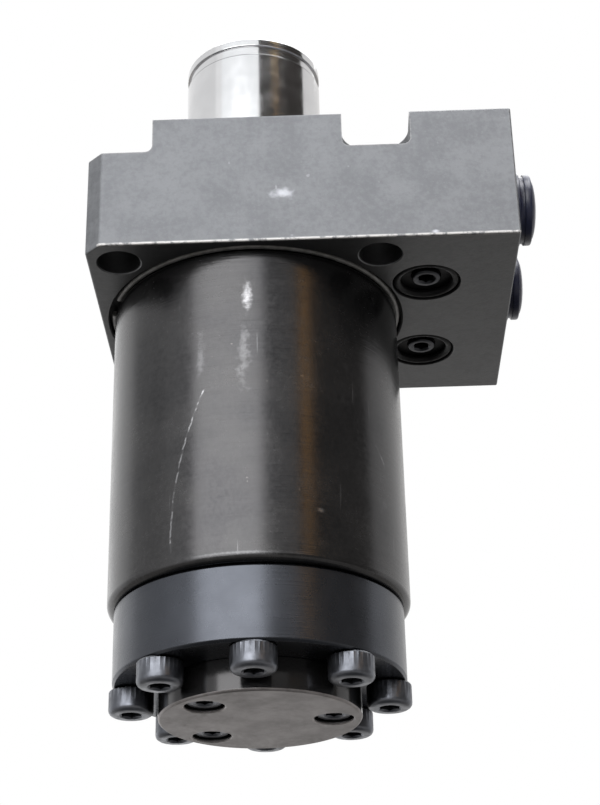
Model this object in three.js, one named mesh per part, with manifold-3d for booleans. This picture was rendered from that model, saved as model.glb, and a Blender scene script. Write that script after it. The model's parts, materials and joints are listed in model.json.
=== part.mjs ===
// A double-acting hydraulic swing clamp cylinder with an upper mounting flange.
// Oil lifts or lowers the plunger, and three balls in its skirt follow helical grooves in a fixed guide
// post, so that the plunger turns a quarter turn over its stroke.
//
// Millimetres, +Z up along the plunger. The origin is the centre of the base disc's outer face, +X points
// from the axis to the two side ports, and -Y is the front.

import * as THREE from "three";
import { mergeVertices } from "three/addons/utils/BufferGeometryUtils.js";
import Module from "manifold-3d";

const wasm = await Module();
wasm.setup();

// ---------------------------------------------------------------------------------------------------------
// Driving dimensions
// ---------------------------------------------------------------------------------------------------------

const stroke = 24;
const swing = Math.PI / 2; // how far the plunger turns over the stroke

const gap = {
  fixed: 0.1, // radial, between two pieces that are screwed or pressed together
  running: 0.15, // radial, round a piece that turns or slides
  seal: 0.05, // between a seal and its groove or bore
  seat: 0.05, // under a cap that is placed in a turned position
};

const plungerSize = {
  radius: 12,
  wall: 3.85,
  skirtStep: 1, // the skirt is turned down this much for the piston
  reach: 28.2, // above the flange when the plunger is in
  tipChamfer: 1,
  markBelowTip: 2.3,
  markWidth: 1.9,
  markDepth: 0.35,
  threadRadius: 4.25,
  threadDepth: 20,
  drillPoint: 2,
  endClearance: 3, // between the guide post and the end of the plunger's bore
  footClearance: 0.3, // between the plunger's foot and the end cover
};

const postSize = {
  shaftClearance: 0.25,
  spigotStep: 0.3, // the spigot is this much wider than the shaft, which has to pass through the cover
  aboveBall: 6, // length left above a ball at the top of the stroke
  tipChamfer: 0.8,
};

const ballSize = {
  radius: 2,
  count: 3,
  firstAngle: Math.PI / 2,
  aboveNut: 2.8,
  proud: 0.6, // the ball's centre lies this far outside the post's shaft
  pocketClearance: 0.2,
  grooveClearance: 0.25,
  belowRest: 3, // the groove starts this far below a ball at rest
};

const pistonSize = {
  height: 10,
  boreGap: 0.2,
  sealFrom: 5.4,
  sealHeight: 3,
  sealDepth: 2.2,
  wearFrom: 1.3,
  wearHeight: 3,
  wearDepth: 1.2,
};

const nutSize = { height: 4, setback: 1.4, slots: 4, slotWidth: 3, slotDepth: 1.2, foot: 0.4 };

const barrelSize = {
  annulus: 3.9, // from the plunger's surface to the bore
  wall: 8,
  footRadius: 1.1,
  headChamfer: 0.3,
  neckStep: 0.8, // from the barrel's surface in to its neck
  spigotWall: 2.5,
  spigotLength: 8.5,
  grooveFrom: 2.4, // from the spigot's end to the O-ring groove
  screwDepth: 12,
};

const glandSize = {
  length: 17.9,
  headThickness: 3,
  headGap: 0.1,
  reliefHeight: 3,
  reliefDepth: 1.4,
  grooveBelowHead: 4.8,
  topClearance: 0.8, // between the gland and the piston at the top of the stroke
};

const sealSize = { pocketHeight: 5, pocketDepth: 4, endGap: 0.2, lipDepth: 1.6, lipWidth: 0.9 };
const wiperSize = { depth: 3.5, width: 3.2, proud: 0.5, lipWidth: 0.9 };

const coverSize = {
  setback: 1.1, // the cover's rim lies this far inside the barrel's
  thickness: 11.95,
  spigotLength: 5.35,
  edge: 0.4,
  grooveFrom: 1.5,
};

const discSize = { thickness: 5.2, headGap: 0.7, edge: 0.3 };

const flangeSize = {
  recessWidth: 1,
  recessDepth: 1.5,
  landHeight: 2.5, // between the rod seal and the wiper
  landGap: 0.35,
  boltLand: 1.4, // metal between the recess and a bolt hole
  boltRadius: 3.4,
  pocketRadius: 5.55,
  pocketDepth: 6.4,
  sideEdge: 5.1, // from a bolt's axis to the left side
  frontEdge: 5.4, // from a bolt's axis to the front or back
  portReach: 14.4, // from the underside ports to the right side
  cornerChamfer: 2.5,
};

const facePort = { y: 11.7, seatRadius: 5.6, seatDepth: 1.5, land: 0.5, boreRadius: 2.5 };
const sidePort = { y: 12.65, aboveMiddle: 0.85, radius: 5.8, depth: 13, drillPoint: 3.3 };
const gallery = { angle: Math.PI / 8, radius: 1, sealSeat: 1.9, sealDepth: 0.8, drillRadius: 1.2, rise: 5 };

// Socket screws. holeGap is the radial room in the holes that they go into or through.
const coverScrew = {
  count: 8,
  radius: 2,
  length: 20,
  headRadius: 3.5,
  headHeight: 3.8,
  headChamfer: 0.25,
  hexAcross: 3,
  hexDepth: 2.2,
  holeGap: 0.15,
};
const postScrew = {
  angles: [0, (3 * Math.PI) / 4, -(3 * Math.PI) / 4],
  radius: 1.5,
  length: 8,
  headRadius: 2.75,
  headHeight: 3,
  headChamfer: 0.2,
  hexAcross: 2.5,
  hexDepth: 1.4,
  holeGap: 0.15,
  seatRadius: 3.1,
  recessed: 0.6,
  fromRim: 4.4,
  spareDepth: 1.2,
};

const facePlug = { radius: 2.35, length: 5, recessed: 0.7, edge: 0.35, hexAcross: 2.5, hexDepth: 2.5 };
const capSize = {
  shankRadius: 5.5,
  shankLength: 7,
  wall: 1.2,
  rimRadius: 6.15,
  rimThickness: 1.5,
  grooveRadius: 5.6,
  grooveWidth: 0.7,
  headRadius: 5.9,
  headThickness: 1.2,
  crownRadius: 5.1,
  crownRise: 0.9,
};

const sectionRadius = { large: 0.93, medium: 0.7, face: 0.7, gallery: 0.34 }; // of the O-rings
const wireRing = {
  sectionRadius: 0.5,
  openFrom: (-171 * Math.PI) / 180,
  openAngle: Math.PI / 15,
  depth: 0.55, // from the flange's underside to the wire's centre
};

const facets = { large: 32, medium: 24, small: 12, drill: 10, hex: 6 };

// ---------------------------------------------------------------------------------------------------------
// Sizes that follow
// ---------------------------------------------------------------------------------------------------------

const skirtRadius = plungerSize.radius - plungerSize.skirtStep;
const plungerBore = plungerSize.radius - plungerSize.wall;
const shaftRadius = plungerBore - postSize.shaftClearance;
const postSpigotRadius = shaftRadius + postSize.spigotStep;
const ballCircle = shaftRadius + ballSize.proud;

const boreRadius = plungerSize.radius + barrelSize.annulus;
const barrelRadius = boreRadius + barrelSize.wall;
const neckRadius = barrelRadius - barrelSize.neckStep;
const barrelSpigotRadius = boreRadius + barrelSize.spigotWall;
const pistonRadius = boreRadius - pistonSize.boreGap;
const innerSpigotRadius = boreRadius - gap.running; // of the gland and of the end cover, inside the barrel

const coverRadius = barrelRadius - coverSize.setback;
const coverScrewCircle = boreRadius + barrelSize.wall / 2;
const discRadius = coverScrewCircle - coverScrew.headRadius - discSize.headGap;
const postScrewCircle = discRadius - postScrew.fromRim;

const recessRadius = barrelRadius + flangeSize.recessWidth;
const boltOffset = (recessRadius + flangeSize.boltLand + flangeSize.boltRadius) / Math.SQRT2;
const facePortReach = recessRadius + facePort.land + facePort.seatRadius;
const facePortX = Math.sqrt(facePortReach ** 2 - facePort.y ** 2);
const flangeLeft = boltOffset + flangeSize.sideEdge;
const flangeRight = facePortX + flangeSize.portReach;
const flangeHalfDepth = boltOffset + flangeSize.frontEdge;
const galleryCircle = (barrelSpigotRadius + neckRadius) / 2;
const sealPocketRadius = plungerSize.radius + sealSize.pocketDepth;
const wiperPocketRadius = plungerSize.radius + wiperSize.width;

// Heights above the base disc's face.
const coverFace = discSize.thickness;
const jointFace = coverFace + coverSize.thickness;
const coverEnd = jointFace + coverSize.spigotLength;
const plungerFoot = coverEnd + plungerSize.footClearance;
const nutFoot = plungerFoot + nutSize.foot;
const pistonFoot = nutFoot + nutSize.height;
const pistonTop = pistonFoot + pistonSize.height;
const ballHeight = pistonFoot + ballSize.aboveNut;
const postTop = ballHeight + stroke + postSize.aboveBall;
const glandFoot = pistonTop + stroke + glandSize.topClearance;
const barrelTop = glandFoot + glandSize.length;
const shoulder = barrelTop - barrelSize.spigotLength;
const underside = shoulder - flangeSize.recessDepth;
const glandTop = barrelTop + glandSize.headThickness;
const sealTop = glandTop + sealSize.pocketHeight;
const wiperFoot = sealTop + flangeSize.landHeight;
const flangeTop = wiperFoot + wiperSize.depth;
const pocketFloor = flangeTop - flangeSize.pocketDepth;
const plungerTop = flangeTop + plungerSize.reach;
const sidePortHeight = (underside + flangeTop) / 2 + sidePort.aboveMiddle;

// ---------------------------------------------------------------------------------------------------------
// Finishes
// ---------------------------------------------------------------------------------------------------------

const finish = (color, roughness, metalness) =>
  new THREE.MeshStandardMaterial({ color, roughness, metalness, flatShading: true });

const materials = {
  groundSteel: finish(0x9a9ca3, 0.55, 0.7),
  blackSteel: finish(0x2c2d31, 0.32, 0.85),
  coverSteel: finish(0x3a3c44, 0.35, 0.8),
  discSteel: finish(0x77736f, 0.5, 0.6),
  screwSteel: finish(0x33353c, 0.4, 0.8),
  ringSteel: finish(0x8c8c88, 0.4, 0.9),
  chrome: finish(0xd8d9dc, 0.08, 1),
  castIron: finish(0x5a5b5e, 0.55, 0.7),
  bearingSteel: finish(0xb9bbc0, 0.15, 1),
  bronze: finish(0xb08d57, 0.4, 0.9),
  rubber: finish(0x17171a, 0.75, 0),
  sealPolymer: finish(0x3e6a52, 0.6, 0),
  capPlastic: finish(0x20263c, 0.35, 0),
};

// ---------------------------------------------------------------------------------------------------------
// Solids
// ---------------------------------------------------------------------------------------------------------

// A closed geometry as a solid that faces outwards, whichever way its outline ran.
function solidOf(geometry) {
  const bare = geometry.clone();
  bare.deleteAttribute("normal");
  bare.deleteAttribute("uv");
  const merged = mergeVertices(bare, 1e-4);
  const corners = merged.index.array;
  const outward = [];
  const inward = [];
  for (let i = 0; i < corners.length; i += 3) {
    const [a, b, c] = corners.subarray(i, i + 3);
    if (a === b || b === c || c === a) continue; // a triangle at a pole has no area
    outward.push(a, b, c);
    inward.push(a, c, b);
  }
  const build = (triangles) =>
    new wasm.Manifold(
      new wasm.Mesh({
        numProp: 3,
        vertProperties: merged.attributes.position.array,
        triVerts: new Uint32Array(triangles),
      }),
    );
  const solid = build(outward);
  return solid.volume() > 0 ? solid : build(inward);
}

function geometryOf(solid) {
  const { vertProperties, triVerts } = solid.getMesh();
  return new THREE.BufferGeometry()
    .setAttribute("position", new THREE.BufferAttribute(vertProperties, 3))
    .setIndex(new THREE.BufferAttribute(triVerts, 1));
}

// A shape turned about Z from its [radius, height] corners. One that doesn't reach the axis is a ring.
function turned(corners, segments = facets.large) {
  const outline = corners.map(([radius, height]) => new THREE.Vector2(radius, height));
  const reachesAxis = outline[0].x === 0 && outline.at(-1).x === 0;
  if (!reachesAxis) outline.push(outline[0].clone());
  return solidOf(new THREE.LatheGeometry(outline, segments).rotateX(Math.PI / 2));
}

// An upright round bar, as a body or as a drill.
function bar(radius, from, to, segments = facets.drill) {
  return turned([[0, from], [radius, from], [radius, to], [0, to]], segments);
}

function barAt(x, y, radius, from, to, segments = facets.drill) {
  const geometry = new THREE.CylinderGeometry(radius, radius, to - from, segments);
  return solidOf(geometry.rotateX(Math.PI / 2).translate(x, y, (from + to) / 2));
}

// A straight drill from one point to another, with an end radius of its own.
function drill(start, end, radius, endRadius = radius, segments = facets.drill) {
  const along = end.clone().sub(start);
  const middle = start.clone().add(end).divideScalar(2);
  const upright = new THREE.Vector3(0, 1, 0);
  const turn = new THREE.Quaternion().setFromUnitVectors(upright, along.clone().normalize());
  const geometry = new THREE.CylinderGeometry(endRadius, radius, along.length(), segments);
  return solidOf(geometry.applyQuaternion(turn).translate(middle.x, middle.y, middle.z));
}

function block(x, y, z, width, depth, height) {
  return solidOf(new THREE.BoxGeometry(width, depth, height).translate(x, y, z));
}

function oRing(circle, section, segments = facets.large) {
  return solidOf(new THREE.TorusGeometry(circle, section, 6, segments));
}

// The hollow of a hexagon socket that opens downwards at height 0.
function hexSocket(across, depth) {
  return bar(across / Math.sqrt(3), -1, depth, facets.hex);
}

// The width of an O-ring's groove, which leaves the squeezed ring room to spread.
const oRingGroove = (section) => 2.6 * section;

const cutAll = (solid, tools) => tools.reduce((rest, tool) => rest.subtract(tool), solid);

const around = (count, circle, firstAngle = 0) =>
  Array.from({ length: count }, (_, i) => at(circle, firstAngle + (i * 2 * Math.PI) / count));

// The point at an angle on a circle round the axis.
function at(circle, angle) {
  return { x: circle * Math.cos(angle), y: circle * Math.sin(angle), angle };
}

// ---------------------------------------------------------------------------------------------------------
// The flange block
// ---------------------------------------------------------------------------------------------------------

function flangeBlock() {
  const chamfer = flangeSize.cornerChamfer;
  const outline = new THREE.Shape([
    new THREE.Vector2(-flangeLeft + chamfer, -flangeHalfDepth),
    new THREE.Vector2(flangeRight, -flangeHalfDepth),
    new THREE.Vector2(flangeRight, flangeHalfDepth),
    new THREE.Vector2(-flangeLeft + chamfer, flangeHalfDepth),
    new THREE.Vector2(-flangeLeft, flangeHalfDepth - chamfer),
    new THREE.Vector2(-flangeLeft, -flangeHalfDepth + chamfer),
  ]);
  const height = flangeTop - underside;
  const plate = new THREE.ExtrudeGeometry(outline, { depth: height, bevelEnabled: false });
  const solid = solidOf(plate.translate(0, 0, underside));
  return cutAll(solid, [plungerWay(), ...boltHoles(), ...oilWays()]);
}

// The stepped bore: recess, barrel spigot and gland head, rod seal, land, wiper.
function plungerWay() {
  const spigotWay = barrelSpigotRadius + gap.running;
  const landWay = plungerSize.radius + flangeSize.landGap;
  return turned([
    [0, underside - 1],
    [recessRadius, underside - 1],
    [recessRadius, shoulder],
    [spigotWay, shoulder],
    [spigotWay, glandTop],
    [sealPocketRadius, glandTop],
    [sealPocketRadius, sealTop],
    [landWay, sealTop],
    [landWay, wiperFoot],
    [wiperPocketRadius, wiperFoot],
    [wiperPocketRadius, flangeTop + 1],
    [0, flangeTop + 1],
  ]);
}

// Four bolt holes, each under a pocket for the screw's head that is open to the front or back. The two on the
// left are open to the left side as well.
function boltHoles() {
  const tools = [];
  for (const side of [-1, 1]) {
    for (const face of [-1, 1]) {
      const x = side * boltOffset;
      const y = face * boltOffset;
      const open = flangeSize.frontEdge + 1;
      const height = flangeSize.pocketDepth + 1;
      const middle = pocketFloor + height / 2;
      tools.push(barAt(x, y, flangeSize.boltRadius, underside - 1, flangeTop + 1, facets.small));
      tools.push(barAt(x, y, flangeSize.pocketRadius, pocketFloor, pocketFloor + height, facets.medium));
      tools.push(block(x, y + (face * open) / 2, middle, 2 * flangeSize.pocketRadius, open, height));
      if (side < 0) {
        const reach = flangeSize.sideEdge + 1;
        tools.push(block(x - reach / 2, y, middle, reach, 2 * flangeSize.pocketRadius, height));
      }
    }
  }
  return tools;
}

// On each side of the middle: the side port, the face seal port, and a gallery down to the barrel.
function oilWays() {
  const tools = [];
  for (const side of [-1, 1]) {
    const portEnd = flangeRight - sidePort.depth;
    const mouth = new THREE.Vector3(flangeRight + 1, side * sidePort.y, sidePortHeight);
    const bottom = new THREE.Vector3(portEnd, side * sidePort.y, sidePortHeight);
    const point = new THREE.Vector3(portEnd - sidePort.drillPoint, side * sidePort.y, sidePortHeight);
    tools.push(drill(mouth, bottom, sidePort.radius, sidePort.radius, facets.medium));
    tools.push(drill(bottom, point, sidePort.radius, gallery.radius, facets.medium));

    const y = side * facePort.y;
    const seatEnd = underside + facePort.seatDepth;
    tools.push(barAt(facePortX, y, facePort.seatRadius, underside - 1, seatEnd, facets.medium));
    tools.push(barAt(facePortX, y, facePort.boreRadius, underside, sidePortHeight, facets.small));

    const way = at(galleryCircle, side * gallery.angle);
    const turn = new THREE.Vector3(way.x, way.y, shoulder + gallery.rise);
    tools.push(barAt(way.x, way.y, gallery.radius, shoulder - 1, shoulder + gallery.rise));
    tools.push(drill(point.clone().setX(portEnd), turn, gallery.drillRadius));
  }
  return tools;
}

// ---------------------------------------------------------------------------------------------------------
// The barrel and what closes it
// ---------------------------------------------------------------------------------------------------------

// Corners of a turned outline along a quarter circle, from the foot's face out to the side.
function roundedFoot(side, foot, radius, steps = 4) {
  return Array.from({ length: steps + 1 }, (_, i) => {
    const turn = (i * Math.PI) / (2 * steps);
    return [side - radius * (1 - Math.sin(turn)), foot + radius * (1 - Math.cos(turn))];
  });
}

function barrel() {
  const grooveTop = barrelTop - barrelSize.grooveFrom;
  const grooveFoot = grooveTop - oRingGroove(sectionRadius.medium);
  const grooveRadius = barrelSpigotRadius + gap.running - 2 * sectionRadius.medium - 2 * gap.seal;
  const tube = turned([
    [boreRadius, jointFace],
    ...roundedFoot(barrelRadius, jointFace, barrelSize.footRadius),
    [barrelRadius, underside - barrelSize.headChamfer],
    [barrelRadius - barrelSize.headChamfer, underside],
    [neckRadius, underside],
    [neckRadius, shoulder],
    [barrelSpigotRadius, shoulder],
    [barrelSpigotRadius, grooveFoot],
    [grooveRadius, grooveFoot],
    [grooveRadius, grooveTop],
    [barrelSpigotRadius, grooveTop],
    [barrelSpigotRadius, barrelTop],
    [boreRadius, barrelTop],
  ]);
  const screwHole = coverScrew.radius + coverScrew.holeGap;
  const screwHoles = around(coverScrew.count, coverScrewCircle).map(({ x, y }) =>
    barAt(x, y, screwHole, jointFace - 1, jointFace + barrelSize.screwDepth),
  );
  // One gallery ends above the piston, in the gland's relief, and the other below it, beside the nut.
  const ends = [glandFoot + glandSize.reliefHeight / 2, nutFoot + nutSize.height / 2];
  const galleries = [1, -1].flatMap((side, i) => {
    const way = at(galleryCircle, side * gallery.angle);
    const inner = at(boreRadius - 1, side * gallery.angle);
    const turn = new THREE.Vector3(way.x, way.y, ends[i]);
    return [
      barAt(way.x, way.y, gallery.radius, ends[i], shoulder + 1),
      barAt(way.x, way.y, gallery.sealSeat, shoulder - gallery.sealDepth, shoulder + 1, facets.small),
      drill(new THREE.Vector3(inner.x, inner.y, ends[i]), turn, gallery.radius),
    ];
  });
  return cutAll(tube, [...screwHoles, ...galleries]);
}

// The bronze bush that guides the plunger, clamped by its head between the barrel and the flange.
function glandBush() {
  const headRadius = barrelSpigotRadius - glandSize.headGap;
  const reliefRadius = innerSpigotRadius - glandSize.reliefDepth;
  const grooveTop = barrelTop - glandSize.grooveBelowHead;
  const grooveFoot = grooveTop - oRingGroove(sectionRadius.large);
  const grooveRadius = boreRadius - 2 * sectionRadius.large - 2 * gap.seal;
  const wayRadius = plungerSize.radius + gap.running;
  return turned([
    [wayRadius, glandFoot],
    [reliefRadius, glandFoot],
    [reliefRadius, glandFoot + glandSize.reliefHeight],
    [innerSpigotRadius, glandFoot + glandSize.reliefHeight],
    [innerSpigotRadius, grooveFoot],
    [grooveRadius, grooveFoot],
    [grooveRadius, grooveTop],
    [innerSpigotRadius, grooveTop],
    [innerSpigotRadius, barrelTop],
    [headRadius, barrelTop],
    [headRadius, glandTop],
    [wayRadius, glandTop],
  ]);
}

// A lip seal whose two lips open towards the oil, below it.
function rodSeal() {
  const inner = plungerSize.radius + gap.running;
  const outer = sealPocketRadius - gap.running;
  const foot = glandTop + sealSize.endGap;
  const top = sealTop - sealSize.endGap;
  return turned([
    [inner, foot],
    [inner + sealSize.lipWidth, foot],
    [(inner + outer) / 2, foot + sealSize.lipDepth],
    [outer - sealSize.lipWidth, foot],
    [outer, foot],
    [outer, top],
    [inner, top],
  ]);
}

function rodWiper() {
  const inner = plungerSize.radius + gap.running;
  const outer = wiperPocketRadius - gap.running;
  return turned([
    [inner + sealSize.endGap, wiperFoot],
    [outer, wiperFoot],
    [outer, flangeTop],
    [inner + wiperSize.lipWidth, flangeTop],
    [inner, flangeTop + wiperSize.proud],
  ]);
}

function endCover() {
  const { edge } = coverSize;
  const wayRadius = postSpigotRadius + gap.fixed;
  const grooveFoot = jointFace + coverSize.grooveFrom;
  const grooveTop = grooveFoot + oRingGroove(sectionRadius.large);
  const grooveRadius = boreRadius - 2 * sectionRadius.large - 2 * gap.seal;
  const ring = turned([
    [wayRadius, coverFace],
    [coverRadius - edge, coverFace],
    [coverRadius, coverFace + edge],
    [coverRadius, jointFace - edge],
    [coverRadius - edge, jointFace],
    [innerSpigotRadius, jointFace],
    [innerSpigotRadius, grooveFoot],
    [grooveRadius, grooveFoot],
    [grooveRadius, grooveTop],
    [innerSpigotRadius, grooveTop],
    [innerSpigotRadius, coverEnd],
    [wayRadius, coverEnd],
  ]);
  const screwHoles = around(coverScrew.count, coverScrewCircle).map(({ x, y }) =>
    barAt(x, y, coverScrew.radius + coverScrew.holeGap, coverFace - 1, jointFace + 1),
  );
  const seat = postScrew.recessed + postScrew.headHeight;
  const holeEnd = seat + postScrew.length + postScrew.spareDepth;
  const postHoles = postScrew.angles.map((angle) => {
    const { x, y } = at(postScrewCircle, angle);
    return barAt(x, y, postScrew.radius + postScrew.holeGap, coverFace - 1, holeEnd);
  });
  return cutAll(ring, [...screwHoles, ...postHoles]);
}

// ---------------------------------------------------------------------------------------------------------
// The guide post and the balls
// ---------------------------------------------------------------------------------------------------------

// The path of a ball's centre relative to the post: constant lead, counter-clockwise as it rises.
class BallPath extends THREE.Curve {
  constructor(restAngle) {
    super();
    this.restAngle = restAngle;
  }
  getPoint(t, target = new THREE.Vector3()) {
    const from = ballHeight - ballSize.belowRest;
    const height = from + t * (postTop + 2 * ballSize.radius - from);
    const angle = this.restAngle + ((height - ballHeight) * swing) / stroke;
    return target.set(ballCircle * Math.cos(angle), ballCircle * Math.sin(angle), height);
  }
}

function guidePost() {
  const grooveFoot = (coverFace + coverEnd) / 2;
  const grooveTop = grooveFoot + oRingGroove(sectionRadius.medium);
  const grooveRadius = postSpigotRadius + gap.fixed - 2 * sectionRadius.medium - 2 * gap.seal;
  const post = turned([
    [0, 0],
    [discRadius - discSize.edge, 0],
    [discRadius, discSize.edge],
    [discRadius, discSize.thickness],
    [postSpigotRadius, discSize.thickness],
    [postSpigotRadius, grooveFoot],
    [grooveRadius, grooveFoot],
    [grooveRadius, grooveTop],
    [postSpigotRadius, grooveTop],
    [postSpigotRadius, coverEnd],
    [shaftRadius, coverEnd],
    [shaftRadius, postTop - postSize.tipChamfer],
    [shaftRadius - postSize.tipChamfer, postTop],
    [0, postTop],
  ]);
  const seat = postScrew.recessed + postScrew.headHeight;
  const screwHoles = postScrew.angles.flatMap((angle) => {
    const { x, y } = at(postScrewCircle, angle);
    return [
      barAt(x, y, postScrew.seatRadius, -1, seat, facets.medium),
      barAt(x, y, postScrew.radius + postScrew.holeGap, seat - 1, discSize.thickness + 1),
    ];
  });
  const ballGrooves = around(ballSize.count, ballCircle, ballSize.firstAngle).map(ballGroove);
  return cutAll(post, [...screwHoles, ...ballGrooves]);
}

function ballGroove({ angle }) {
  const section = new THREE.Shape();
  section.absarc(0, 0, ballSize.radius + ballSize.grooveClearance, 0, 2 * Math.PI);
  const options = { curveSegments: 4, steps: 16, bevelEnabled: false, extrudePath: new BallPath(angle) };
  return solidOf(new THREE.ExtrudeGeometry(section, options));
}

function ball() {
  return solidOf(new THREE.SphereGeometry(ballSize.radius, 12, 8));
}

// ---------------------------------------------------------------------------------------------------------
// The plunger and the piston
// ---------------------------------------------------------------------------------------------------------

function plunger() {
  const { radius, markDepth, tipChamfer, threadRadius } = plungerSize;
  const markTop = plungerTop - plungerSize.markBelowTip;
  const markFoot = markTop - plungerSize.markWidth;
  const threadEnd = plungerTop - plungerSize.threadDepth;
  const boreEnd = postTop + plungerSize.endClearance;
  const rod = turned([
    [0, boreEnd],
    [plungerBore, boreEnd],
    [plungerBore, plungerFoot],
    [skirtRadius, plungerFoot],
    [skirtRadius, pistonTop],
    [radius, pistonTop],
    [radius, markFoot],
    [radius - markDepth, markFoot],
    [radius - markDepth, markTop],
    [radius, markTop],
    [radius, plungerTop - tipChamfer],
    [radius - tipChamfer, plungerTop],
    [threadRadius, plungerTop],
    [threadRadius, threadEnd],
    [0, threadEnd - plungerSize.drillPoint],
  ]);
  const pocketRadius = ballSize.radius + ballSize.pocketClearance;
  const pockets = around(ballSize.count, 1, ballSize.firstAngle).map(({ x, y }) => {
    const inner = new THREE.Vector3(x, y, 0).multiplyScalar(plungerBore - 1).setZ(ballHeight);
    const outer = new THREE.Vector3(x, y, 0).multiplyScalar(skirtRadius + 1).setZ(ballHeight);
    return drill(inner, outer, pocketRadius, pocketRadius, facets.small);
  });
  return cutAll(rod, pockets);
}

function piston() {
  const { sealFrom, sealHeight, sealDepth, wearFrom, wearHeight, wearDepth } = pistonSize;
  const step = (from, height, depth) => [
    [pistonRadius, pistonFoot + from],
    [pistonRadius - depth, pistonFoot + from],
    [pistonRadius - depth, pistonFoot + from + height],
    [pistonRadius, pistonFoot + from + height],
  ];
  return turned([
    [skirtRadius + gap.fixed, pistonFoot],
    [pistonRadius, pistonFoot],
    ...step(wearFrom, wearHeight, wearDepth),
    ...step(sealFrom, sealHeight, sealDepth),
    [pistonRadius, pistonTop],
    [skirtRadius + gap.fixed, pistonTop],
  ]);
}

// A ring in one of the piston's grooves.
function pistonRing(from, height, depth) {
  const inner = pistonRadius - depth + 2 * gap.seal;
  const outer = boreRadius - gap.seal;
  const foot = pistonFoot + from + 2 * gap.seal;
  const top = pistonFoot + from + height - 2 * gap.seal;
  return turned([[inner, foot], [outer, foot], [outer, top], [inner, top]]);
}

function pistonNut() {
  const radius = boreRadius - nutSize.setback;
  const inner = skirtRadius + gap.fixed;
  const ring = turned([[inner, nutFoot], [radius, nutFoot], [radius, pistonFoot], [inner, pistonFoot]]);
  const middle = nutFoot + nutSize.height / 2;
  const slots = around(nutSize.slots, radius).map(({ x, y, angle }) => {
    const size = [2 * nutSize.slotDepth, nutSize.slotWidth, nutSize.height + 2];
    return solidOf(new THREE.BoxGeometry(...size).rotateZ(angle).translate(x, y, middle));
  });
  return cutAll(ring, slots);
}

// ---------------------------------------------------------------------------------------------------------
// Screws, plugs, caps and rings
// ---------------------------------------------------------------------------------------------------------

// A socket screw that points up, with the face of its head at height 0.
function socketScrew(size) {
  const { headRadius, headHeight, headChamfer, radius, length } = size;
  const body = turned(
    [
      [0, 0],
      [headRadius - headChamfer, 0],
      [headRadius, headChamfer],
      [headRadius, headHeight],
      [radius, headHeight],
      [radius, headHeight + length],
      [0, headHeight + length],
    ],
    facets.small,
  );
  return body.subtract(hexSocket(size.hexAcross, size.hexDepth));
}

function socketPlug() {
  const { radius, edge, length } = facePlug;
  const outline = [[0, 0], [radius - edge, 0], [radius, edge], [radius, length], [0, length]];
  const body = turned(outline, facets.small);
  return body.subtract(hexSocket(facePlug.hexAcross, facePlug.hexDepth));
}

// A push-in cap that stands on height 0, with its hollow shank below.
function portCap() {
  const rimTop = capSize.rimThickness;
  const headFoot = rimTop + capSize.grooveWidth;
  const headTop = headFoot + capSize.headThickness;
  const hollow = capSize.shankRadius - capSize.wall;
  return turned(
    [
      [0, 0],
      [hollow, 0],
      [hollow, -capSize.shankLength],
      [capSize.shankRadius, -capSize.shankLength],
      [capSize.shankRadius, 0],
      [capSize.rimRadius, 0],
      [capSize.rimRadius, rimTop],
      [capSize.grooveRadius, rimTop],
      [capSize.grooveRadius, headFoot],
      [capSize.headRadius, headFoot],
      [capSize.headRadius, headTop],
      [capSize.crownRadius, headTop + capSize.crownRise],
      [0, headTop + capSize.crownRise],
    ],
    facets.medium,
  );
}

// The split wire ring round the barrel's neck, open by a small angle.
class RingPath extends THREE.Curve {
  getPoint(t, target = new THREE.Vector3()) {
    const circle = (neckRadius + recessRadius) / 2;
    const closed = 2 * Math.PI - wireRing.openAngle;
    const angle = wireRing.openFrom + wireRing.openAngle + t * closed;
    return target.set(circle * Math.cos(angle), circle * Math.sin(angle), 0);
  }
}

function splitRing() {
  const section = new THREE.Shape();
  section.absarc(0, 0, wireRing.sectionRadius, 0, 2 * Math.PI);
  const options = { curveSegments: 3, steps: 36, bevelEnabled: false, extrudePath: new RingPath() };
  return solidOf(new THREE.ExtrudeGeometry(section, options));
}

// ---------------------------------------------------------------------------------------------------------
// The assembly
// ---------------------------------------------------------------------------------------------------------

function mesh(name, solid, material, x = 0, y = 0, z = 0) {
  const made = new THREE.Mesh(geometryOf(solid), material);
  made.name = name;
  made.position.set(x, y, z);
  return made;
}

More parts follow.
